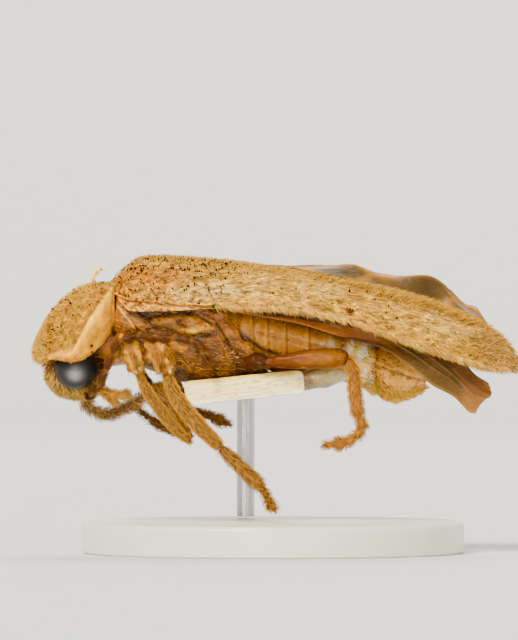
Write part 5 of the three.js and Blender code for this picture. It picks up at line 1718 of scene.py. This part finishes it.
def limb_bed(skin, count, length, lift, sheet, width=0.0022, stray=0.2, **more):
    """A bed on a limb, whose hairs lie the way that the nearest part of the limb goes."""
    centre = skin["grid"].mean(axis=1)

    def lie(root):
        return skin["ahead"][np.argmin(np.linalg.norm(root[:, None] - centre[None], axis=-1), axis=1)]

    return hair_bed(skin, count, lie, length, width, lift, sheet, stray=stray, **more)


beds = []
for n, skin in enumerate(leg_skins):
    left, bottom = SHEET_STEP * (n % SHEETS_IN_A_ROW), SHEET_STEP * (n // SHEETS_IN_A_ROW)
    far = SHEET_STEP - SHEET_EDGE
    sheet = (left + SHEET_EDGE, bottom + SHEET_EDGE, left + far, bottom + far)
    length, lift, thick = LEG_HAIR[skin["part"]]
    bare = NEARLY_BARE if skin["name"].startswith("hind") and skin["part"] in ("coxa", "femur") else 1
    beds.append(limb_bed(skin, LEG_HAIRS * skin["area"] * thick * bare, length, lift, sheet, 0.0026,
                         patches=0.4, pale=0.5, hue=LIT_SIDE_HUE if "left" in skin["name"] else SHADED_SIDE_HUE))
coat = grow_hairs("leg_hair", beds, 231)

# %% Hairs of the feelers and mouth feelers
beds = [
    limb_bed(feeler_skins[0], 2600, 0.06, 32, (0.01, 0.01, 0.49, 0.49), 0.0026, pale=0.3, hue=(170, 112, 70)),
    limb_bed(feeler_skins[1], 2000, 0.1, 42, (0.51, 0.01, 0.99, 0.49), 0.0038, pale=0.8, hue=(204, 166, 134)),
]
for n, skin in enumerate(palp_skins):
    sheet = (0.25 * n + 0.01, 0.52, 0.25 * n + 0.24, 0.98)
    beds.append(limb_bed(skin, 420, 0.07, 40, sheet, pale=0.6, hue=(236, 196, 140)))
coat = grow_hairs("feeler_hair", beds, 241)

# %% [markdown]
# ## Hairs of the body
#
# The belly has a thin flat coat, pale bristles along its lower edge towards the tip, and a few dark ones by
# the light organ. The thorax is covered evenly. Both share one object, each on its own half of the unwrap.

# %% Hairs of the body
BELLY_SHEET, THORAX_SHEET = (0.01, 0.01, 0.49, 0.99), (0.51, 0.01, 0.99, 0.99)
belly = skins["abdomen"]
x, _, z = three(belly["grid"])
low_edge = np.clip(-np.sin(np.linspace(0, FULL_TURN, x.shape[1])) - 0.35, 0, 1)[None]
coat = grow_hairs("body_hair", [
    hair_bed(belly, 3500, lie_back, 0.045, 0.0022, 16, BELLY_SHEET, pale=0.5, hue=(236, 186, 110)),
    hair_bed(belly, 2000, (0.7, 0, -0.7), 0.1, 0.0036, 50, BELLY_SHEET, stray=0.45, pale=0.8,
             hue=(240, 190, 110), where=rises(x, 3.5, 0.3) * low_edge + 1e-6),
    hair_bed(belly, 420, (0.7, 0, -0.5), 0.06, 0.0042, 30, BELLY_SHEET, stray=0.5, pale=0.9, hue=(48, 26, 10),
             where=band(x, 3.72, 0.14) * (z < 1.85) + 1e-6),
    hair_bed(skins["thorax"], 6500, lie_back, 0.06, 0.0026, 18, THORAX_SHEET, pale=0.55, hue=(230, 182, 110),
             stray=0.35),
], 251)

# %% [markdown]
# ## Card and glue
#
# The strip is cut card 0.26 mm thick, and its cut end faces the viewer: fibres run across it, the corners are
# crushed round, and the top edge has taken a warm stain from the glue. A box with a bevel would look like
# plastic, so the end is a fine grid whose rim and face are roughened by stretched noise.

# %% Outline of the card
CORNER_STEPS, STRAIGHT_STEPS = 10, 46
FRONT_RINGS, EDGE_RINGS, BODY_RINGS = 26, 6, 60
EDGE_ROUND = 0.03


def rounded_outline(width, height, corner):
    """Points once round a rectangle with rounded corners, evenly spread."""
    points = []
    for (cx, cy), start in (((1, -1), -90), ((1, 1), 0), ((-1, 1), 90), ((-1, -1), 180)):
        for turn in np.radians(np.linspace(start, start + 90, CORNER_STEPS)):
            points.append((cx * (width / 2 - corner) + corner * math.cos(turn),
                           cy * (height / 2 - corner) + corner * math.sin(turn)))
    return evenly(np.array(points + [points[0]]), 4 * STRAIGHT_STEPS + 1)[0]


def at_depth(flat_ring, depth):
    return np.concatenate([flat_ring, np.full((len(flat_ring), 1), depth)], axis=1)


outline = rounded_outline(CARD["width"], CARD["thickness"], CARD["corner"])
insets = 1 - np.linspace(0, 1, FRONT_RINGS)[::-1] ** 1.6
front = [at_depth(outline * (1 - inset), 0.0) * np.array([0.984, 0.96, 1]) for inset in insets[::-1][:-1]]
edge = []
for k in np.linspace(0, 1, EDGE_RINGS):
    scale = 1 - 0.04 * (1 - math.sin(k * math.pi / 2)) * np.array([0.4, 1.0])
    edge.append(at_depth(outline * scale, EDGE_ROUND * (1 - math.cos(k * math.pi / 2))))
body = [at_depth(outline, depth) for depth in np.linspace(0.05, CARD["length"], BODY_RINGS)]
rings = np.stack([*front, *edge, *body])
x, z, y = three(rings)
print("card rings:", len(rings))

# %% Fibres, dents and colour of the card
fibre = 0.02 * mottle(rings, (0.25, 0.018, 0.1), 301) + 0.02 * mottle(rings, 0.09, 302)
dent = 0.03 * mottle(rings, (0.16, 0.4, 0.4), 303, 0.4) * (np.abs(z) > 0.1)
y = np.maximum(y + np.where(y < 0.04, fibre + np.maximum(dent, 0), 0), 0.0)
z = z + 0.012 * mottle(rings, (0.18, 0.5, 0.3), 304) * (np.abs(z) > 0.1)
grid = tipped(np.stack([x, y, z], axis=-1), CARD_LEAN) + CARD_PLACE
top_side = (rings[..., 2] > 0.06) & (z > 0.1)
tone = glaze(one_colour(grid, 255, 242, 206), [
    (1.2 * mottle(rings, (0.3, 0.02, 0.1), 305, 0.4), (218, 186, 136)),
    (0.85 * rises(z, 0.07, 0.05), (240, 190, 110)),
    (0.6 * falls(z, -0.07, 0.05), (255, 250, 240)),
    (0.6 * (blotches(rings, (0.05, 0.02, 0.04), 306) > 0.76), (196, 158, 108)),
    (0.75 * top_side * blotches(rings, (0.3, 0.3, 0.4), 307), (206, 148, 74)),
])
print("deepest dent of the cut end in mm:", dent.max().round(3))

# %% Build the card
card_finish = finish("card", 0.78, grain=0.016, depth=0.1, bump=0.9, stretch=(0.25, 1, 1), clouds=0.06,
                     glow=0.1, specular=0.25)
card = ring_skin("card_strip", grid, card_finish, tone)
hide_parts("card")
print("card faces", len(card.data.polygons))

# %% [markdown]
# ## Glue
#
# Dried glue is a milky drop, wet looking where it pulled into the corners. Its form is a flattened ball
# pulled up to the belly, with runs in it. The shader lets some light through and keeps the rest white.

# %% Glue
t, angle = ball_steps(70, 100, inset=0.03)
drop = np.stack([0.35 * np.cos(t), 0.33 * np.sin(t) * np.cos(angle),
                 0.14 * np.sin(t) * np.sin(angle)], axis=-1)
grid = tipped(drop, 0.2) + np.array([3.12, -0.34, 1.51])
runs = 0.03 * mottle(grid, 0.12, 311) + 0.012 * mottle(grid, 0.04, 312)
grid = push_out(grid, runs)
x, y, z = three(grid)
tone = glaze(one_colour(grid, 192, 172, 138), [
    (0.9 * falls(x, 3.06, 0.06) * (blotches(grid, 0.08, 314) > 0.3), (132, 80, 34)),
    (0.5 * mottle(grid, 0.08, 313, 0.3), (240, 232, 214)),
    # painted shade: darker towards the bottom of the drop
    (0.7 * falls(z, 1.46, 0.06), (112, 96, 74)),
])
glue_finish = finish("glue", 0.25, grain=0.03, depth=0.1, bump=0.6, clear=0.15, glow=0.3, clouds=0.12,
                     coat=0.2)
glue = ring_skin("glue_drop", grid, glue_finish, tone)
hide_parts("glue")
print("glue faces", len(glue.data.polygons))

# %% [markdown]
# ## Dust, stains and a stray fibre
#
# An old specimen is never clean. Dark specks sit on the back, a dried red drop and a green fleck mark the
# left wing case, and a wisp of fibre has caught on the pronotum. Specks could be painted, but real ones
# stand on top of the hairs, so each is a small lumpy grain of mesh.

# %% One grain, and a helper that strews grains
GRAIN_RINGS, GRAIN_SIDES = 3, 5
BALL, BALL_FACES = [], []
for i in range(GRAIN_RINGS):
    for j in range(GRAIN_SIDES):
        down = (i + 1) * math.pi / 4
        around = (j + 0.5 * (i % 2)) * 2 * math.pi / GRAIN_SIDES
        BALL.append((math.sin(down) * math.cos(around), math.sin(down) * math.sin(around), math.cos(down)))
BALL = np.array(BALL + [(0, 0, 1), (0, 0, -1)])
for i in range(GRAIN_RINGS - 1):
    for j in range(GRAIN_SIDES):
        a, b = i * GRAIN_SIDES + j, i * GRAIN_SIDES + (j + 1) % GRAIN_SIDES
        BALL_FACES += [[a, a + GRAIN_SIDES, b + GRAIN_SIDES], [a, b + GRAIN_SIDES, b]]
TOP, BOTTOM, LAST_RING = 15, 16, 10
BALL_FACES += [[TOP, j, (j + 1) % GRAIN_SIDES] for j in range(GRAIN_SIDES)]
BALL_FACES += [[BOTTOM, LAST_RING + (j + 1) % GRAIN_SIDES, LAST_RING + j] for j in range(GRAIN_SIDES)]
BALL_FACES = np.array(BALL_FACES)
GRAIN_CLEAR = 0.02


def sprinkle(name, beds, colours, seed, sink=0.3):
    """Small grains on skins. Beds are (skin, count, small, large, where)."""
    rng = np.random.default_rng(seed)
    places, tones = [], []
    for skin, count, small, large, where in beds:
        i, j = pick_cells(rng, skin["grid"], count, where)
        size = small + (large - small) * rng.random(count) ** 2
        squash = rng.uniform(0.5, 1.2, (count, 1, 3))
        lumps = rng.uniform(0.75, 1.2, (count, len(BALL), 1))
        lift = (GRAIN_CLEAR + size * (1 - sink))[:, None]
        middle = skin["grid"][i, j] + skin["out"][i, j] * lift
        places.append(middle[:, None] + BALL[None] * squash * lumps * size[:, None, None])
        colour = np.array([shade(*c) for c in colours])[rng.integers(0, len(colours), count)]
        tones.append(np.repeat(colour[:, None], len(BALL), axis=1))
    places, tones = np.concatenate(places), np.concatenate(tones)
    faces = (BALL_FACES[None] + len(BALL) * np.arange(len(places))[:, None, None]).reshape(-1, 3)
    piece = add_piece(name, places.reshape(-1, 3), faces.tolist(), dust_finish, tones.reshape(-1, 3))
    print(name, "grains", len(places))
    return piece


print("triangles of one grain:", len(BALL_FACES))

# %% Dark and pale dust
dust_finish = finish("dust", 0.7, grain=0.01, depth=0.3, bump=0.3, clouds=0.1, specular=0.03)
DARK = [(46, 23, 6), (62, 32, 8), (36, 18, 5), (84, 46, 14)]
PALE_DUST = [(250, 246, 236), (236, 226, 206)]
left_case, right_case = skins["wing_case_left"], skins["wing_case_right"]
near_root = [band(skin["grid"][..., 0], 1.5, 0.7) for skin in (left_case, right_case)]
dust = sprinkle("dust_dark", [
    (left_case, 680, 0.007, 0.016, 0.3 + 2 * near_root[0]),
    (right_case, 400, 0.006, 0.015, 0.3 + 1.5 * near_root[1]),
    (skins["pronotum"], 230, 0.009, 0.017, on_top + 0.12),
    (skins["scutellum"], 14, 0.004, 0.01, None),
    (skins["abdomen"], 260, 0.006, 0.014, None),
    (skins["thorax"], 110, 0.006, 0.013, None),
], DARK, 401)
pale_dust = sprinkle("dust_pale", [
    (left_case, 60, 0.003, 0.008, None),
    (right_case, 50, 0.003, 0.008, None),
    (skins["thorax"], 30, 0.003, 0.008, None),
], PALE_DUST, 402)


# %% The red drop and the green fleck
def fleck(name, place, size, count, colours, seed):
    """A cluster of grains that stand high around one place on the left wing case."""
    grid = left_case["grid"]
    away = np.linalg.norm(side_view(grid) - np.array(place), axis=-1)
    close = band(away, 0, size) * (grid[..., 1] < -0.4) + 1e-9
    piece = sprinkle(name, [(left_case, count, 0.008, 0.022, close)], colours, seed, sink=-0.3)


fleck("red_stain", (3.43, 2.2), 0.022, 34, [(92, 36, 10), (70, 26, 8), (112, 48, 16)], 403)
fleck("green_fleck", (1.97, 2.275), 0.014, 7, [(24, 92, 58), (40, 120, 80)], 404)

# %% Stray fibre on the pronotum
strands = [
    ([[0.71, -0.2, 2.46], [0.65, -0.22, 2.53], [0.64, -0.22, 2.6], [0.67, -0.22, 2.66],
      [0.74, -0.22, 2.68]], 0.02),
    ([[0.69, -0.18, 2.47], [0.63, -0.2, 2.55], [0.65, -0.2, 2.62], [0.7, -0.2, 2.64]], 0.016),
    ([[0.67, -0.2, 2.6], [0.7, -0.23, 2.65], [0.72, -0.24, 2.71]], 0.01),
    ([[0.66, -0.2, 2.58], [0.61, -0.2, 2.61], [0.63, -0.2, 2.66]], 0.008),
    ([[0.7, -0.2, 2.65], [0.76, -0.22, 2.66], [0.78, -0.22, 2.63]], 0.008),
]
FIBRE_STEPS, FIBRE_SIDES = 40, 8
grids, tones = [], []
for points, half in strands:
    shares = np.linspace(0, 1, FIBRE_STEPS)
    halves = half * (0.5 + 0.5 * np.sin(np.pi * shares) ** 0.5)
    grid, _, _ = limb_rings(points, shares, halves, FIBRE_SIDES, 0.8, (0, 1, 0))
    grids.append(grid)
    tones.append(tint(one_colour(grid, 150, 100, 46), (grid[..., 2] - 2.5) / 0.1, shade(244, 224, 176)))
fibre = many_rings("stray_fibre", grids, tones, hair_finish)
print("strands:", len(strands))

# %% [markdown]
# ## The stand
#
# The stand isn't part of the insect: a short steel rod holds the card over a round base. The rod's own solid
# is already right, so it only gets a brushed finish. The base gets a new turned body with a soft edge,
# because the light on its rim would show the solid's flat facets.

# %% A brushed finish for the rod
steel = finish("brushed steel", 0.3, grain=0.01, depth=0.1, bump=0.3, stretch=(1, 1, 0.05),
               plain=shade(190, 190, 192))
steel.node_tree.nodes["Principled BSDF"].inputs["Metallic"].default_value = 1.0
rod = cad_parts["stand_rod"]
rod.data.materials.clear()
rod.data.materials.append(steel)
print("rod finish:", rod.data.materials[0].name)

# %% The base as a turned body
BASE_SIDES, BASE_TALL = 192, 0.35
FOOT_ROUND, RIM_ROUND = 0.03, 0.06


def quarter(radius, height, size, way, count, start):
    """Points of a rounding, from a small angle to a quarter turn."""
    angles = np.linspace(start, math.pi / 2, count)
    if way == "out":
        return [(radius + size * math.sin(a), height + size - size * math.cos(a)) for a in angles]
    return [(radius + size * math.cos(a), height + size * math.sin(a)) for a in angles]


def turned(profile, sides):
    """A grid from pairs of radius and height, turned once round."""
    radius, height = np.array(profile).T
    angle = np.linspace(0, FULL_TURN, sides + 1)
    return np.stack([radius[:, None] * np.cos(angle), radius[:, None] * np.sin(angle),
                     height[:, None] * np.ones(len(angle))], axis=-1)


profile = [(0.02, 0.0), (1.2, 0.0), (2.07, 0.0), *quarter(2.07, 0.0, FOOT_ROUND, "out", 6, 0.2)]
profile += [(2.1, 0.1), (2.1, 0.2), (2.1, 0.29), *quarter(2.04, 0.29, RIM_ROUND, "in", 8, 0.2)]
profile += [(1.9, BASE_TALL), (1.0, BASE_TALL), (0.02, BASE_TALL)]
grid = turned(profile, BASE_SIDES) - SHIFT
base_finish = finish("stand base", 0.42, grain=0.03, depth=0.04, bump=0.15, clouds=0.03)
base = ring_skin("base_turned", grid, base_finish, one_colour(grid, 214, 211, 203))
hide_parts("stand_base")
print("stand done")

# %% [markdown]
# ## Room, light and camera
#
# The floor is a wide pale bowl, flat in the middle, so no line crosses behind the insect from any side. Soft
# light from above the head models the back, and some from behind lights the other side. Both are far away,
# so the bowl is lit as evenly as the insect. A near one from the tail keeps the shadows open and stays out of
# reflections, and a small round one near the lens shows in reflections only. White light alone made the
# ochres pink, so all but the back light are a little warm. The camera stands 80 mm away with a long lens, as
# a macro lens does, level with the side of the body.

# %% Floor
FLAT, BEND, BOWL_SIDES = 100, 40, 128
profile = [(0.01, 0.0), (10, 0.0), (40, 0.0), (FLAT, 0.0), *quarter(FLAT, 0.0, BEND, "out", 16, 0.1)]
profile += [(FLAT + BEND, 2 * BEND)]
grid = turned(profile, BOWL_SIDES)
floor_finish = finish("floor", 0.8, grain=0.4, depth=0.02, bump=0.05, clouds=0.01,
                      plain=shade(206, 206, 205))
floor = smooth_object("floor", grid.reshape(-1, 3) * MM,
                      cells(len(profile) - 1, BOWL_SIDES, flip=True).tolist(), floor_finish)
floor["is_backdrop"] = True
print("floor faces", len(floor.data.polygons))

# %% Lights
def lamp_at(light, place, aim, power, colour):
    light.energy, light.color = power, colour
    lamp = bpy.data.objects.new(light.name, light)
    bpy.context.scene.collection.objects.link(lamp)
    from_place, to_place = (np.array(p, float) * MM for p in (place, aim))
    lamp.location = from_place
    way = Vector(to_place - from_place)
    lamp.rotation_mode = "QUATERNION"
    lamp.rotation_quaternion = way.to_track_quat("-Z", "Y")
    return lamp


def far_light(name, place, angle, power, colour=(1, 1, 1)):
    light = bpy.data.lights.new(name, "SUN")
    light.angle = math.radians(angle)
    return lamp_at(light, place, (0, 0, 2.5), power, colour)


def near_light(name, place, aim, size, power, colour, shape="SQUARE"):
    light = bpy.data.lights.new(name, "AREA")
    light.shape, light.size = shape, size * MM
    lamp = lamp_at(light, place, aim, power, colour)
    lamp.visible_camera = False
    return lamp


# %% Place the lights
far_light("key", (-22, -38, 42), 21, 8.5, (1.0, 0.95, 0.87))
far_light("back", (6, 18, 34), 38, 3.2)
fill = near_light("fill", (36, -40, 10), (0, 0, 2.5), 34, 0.02, (1.0, 0.95, 0.88))
fill.visible_glossy = False
ring = near_light("lens ring", (-3, -60, 1.2), (-2, -1, 2.2), 9, 0.04, (1.0, 0.9, 0.76), "DISK")
ring.visible_diffuse = False
world = bpy.context.scene.world or bpy.data.worlds.new("room")
bpy.context.scene.world = world
world.use_nodes = True
room_light = world.node_tree.nodes["Background"]
room_light.inputs["Color"].default_value = (1, 1, 1, 1)
room_light.inputs["Strength"].default_value = 0.14
print("lights:", len(bpy.data.lights))

# %% Camera
PIXELS_WIDE, PIXELS_HIGH, PIXELS_PER_MM = 518, 640, 92.3
LENS, SENSOR, NEAR_SIDE = 400, 36, -1.2
SEEN_AT = {"x": 33, "y": 515}
camera = bpy.data.cameras.new("camera")
camera.lens, camera.sensor_width = LENS, SENSOR
distance = PIXELS_HIGH / PIXELS_PER_MM * LENS / SENSOR
across = (PIXELS_WIDE / 2 - SEEN_AT["x"]) / PIXELS_PER_MM + SHIFT[0]
up = (SEEN_AT["y"] - PIXELS_HIGH / 2) / PIXELS_PER_MM + SHIFT[2]
camera.clip_start, camera.clip_end = 0.001, 1.0
eye_point = bpy.data.objects.new("camera", camera)
eye_point.location = (across * MM, (NEAR_SIDE - distance) * MM, up * MM)
eye_point.rotation_euler = (math.pi / 2, 0, 0)
bpy.context.scene.collection.objects.link(eye_point)
bpy.context.scene.camera = eye_point
print("camera at", [round(1000 * c, 3) for c in eye_point.location], "mm")

# %% [markdown]
# ## Sizes
#
# How far the dressed model reaches below and above the solids' box on each axis is printed, as a share of
# that box. The dressed model must keep to the solids' box, apart from a little hair.

# %% Measure and finish
low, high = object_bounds()
for axis, name in enumerate("XYZ"):
    side = solid_box[1][axis] - solid_box[0][axis]
    below, above = (solid_box[0][axis] - low[axis]) / side, (high[axis] - solid_box[1][axis]) / side
    print(name, "below", round(below, 4), "above", round(above, 4))
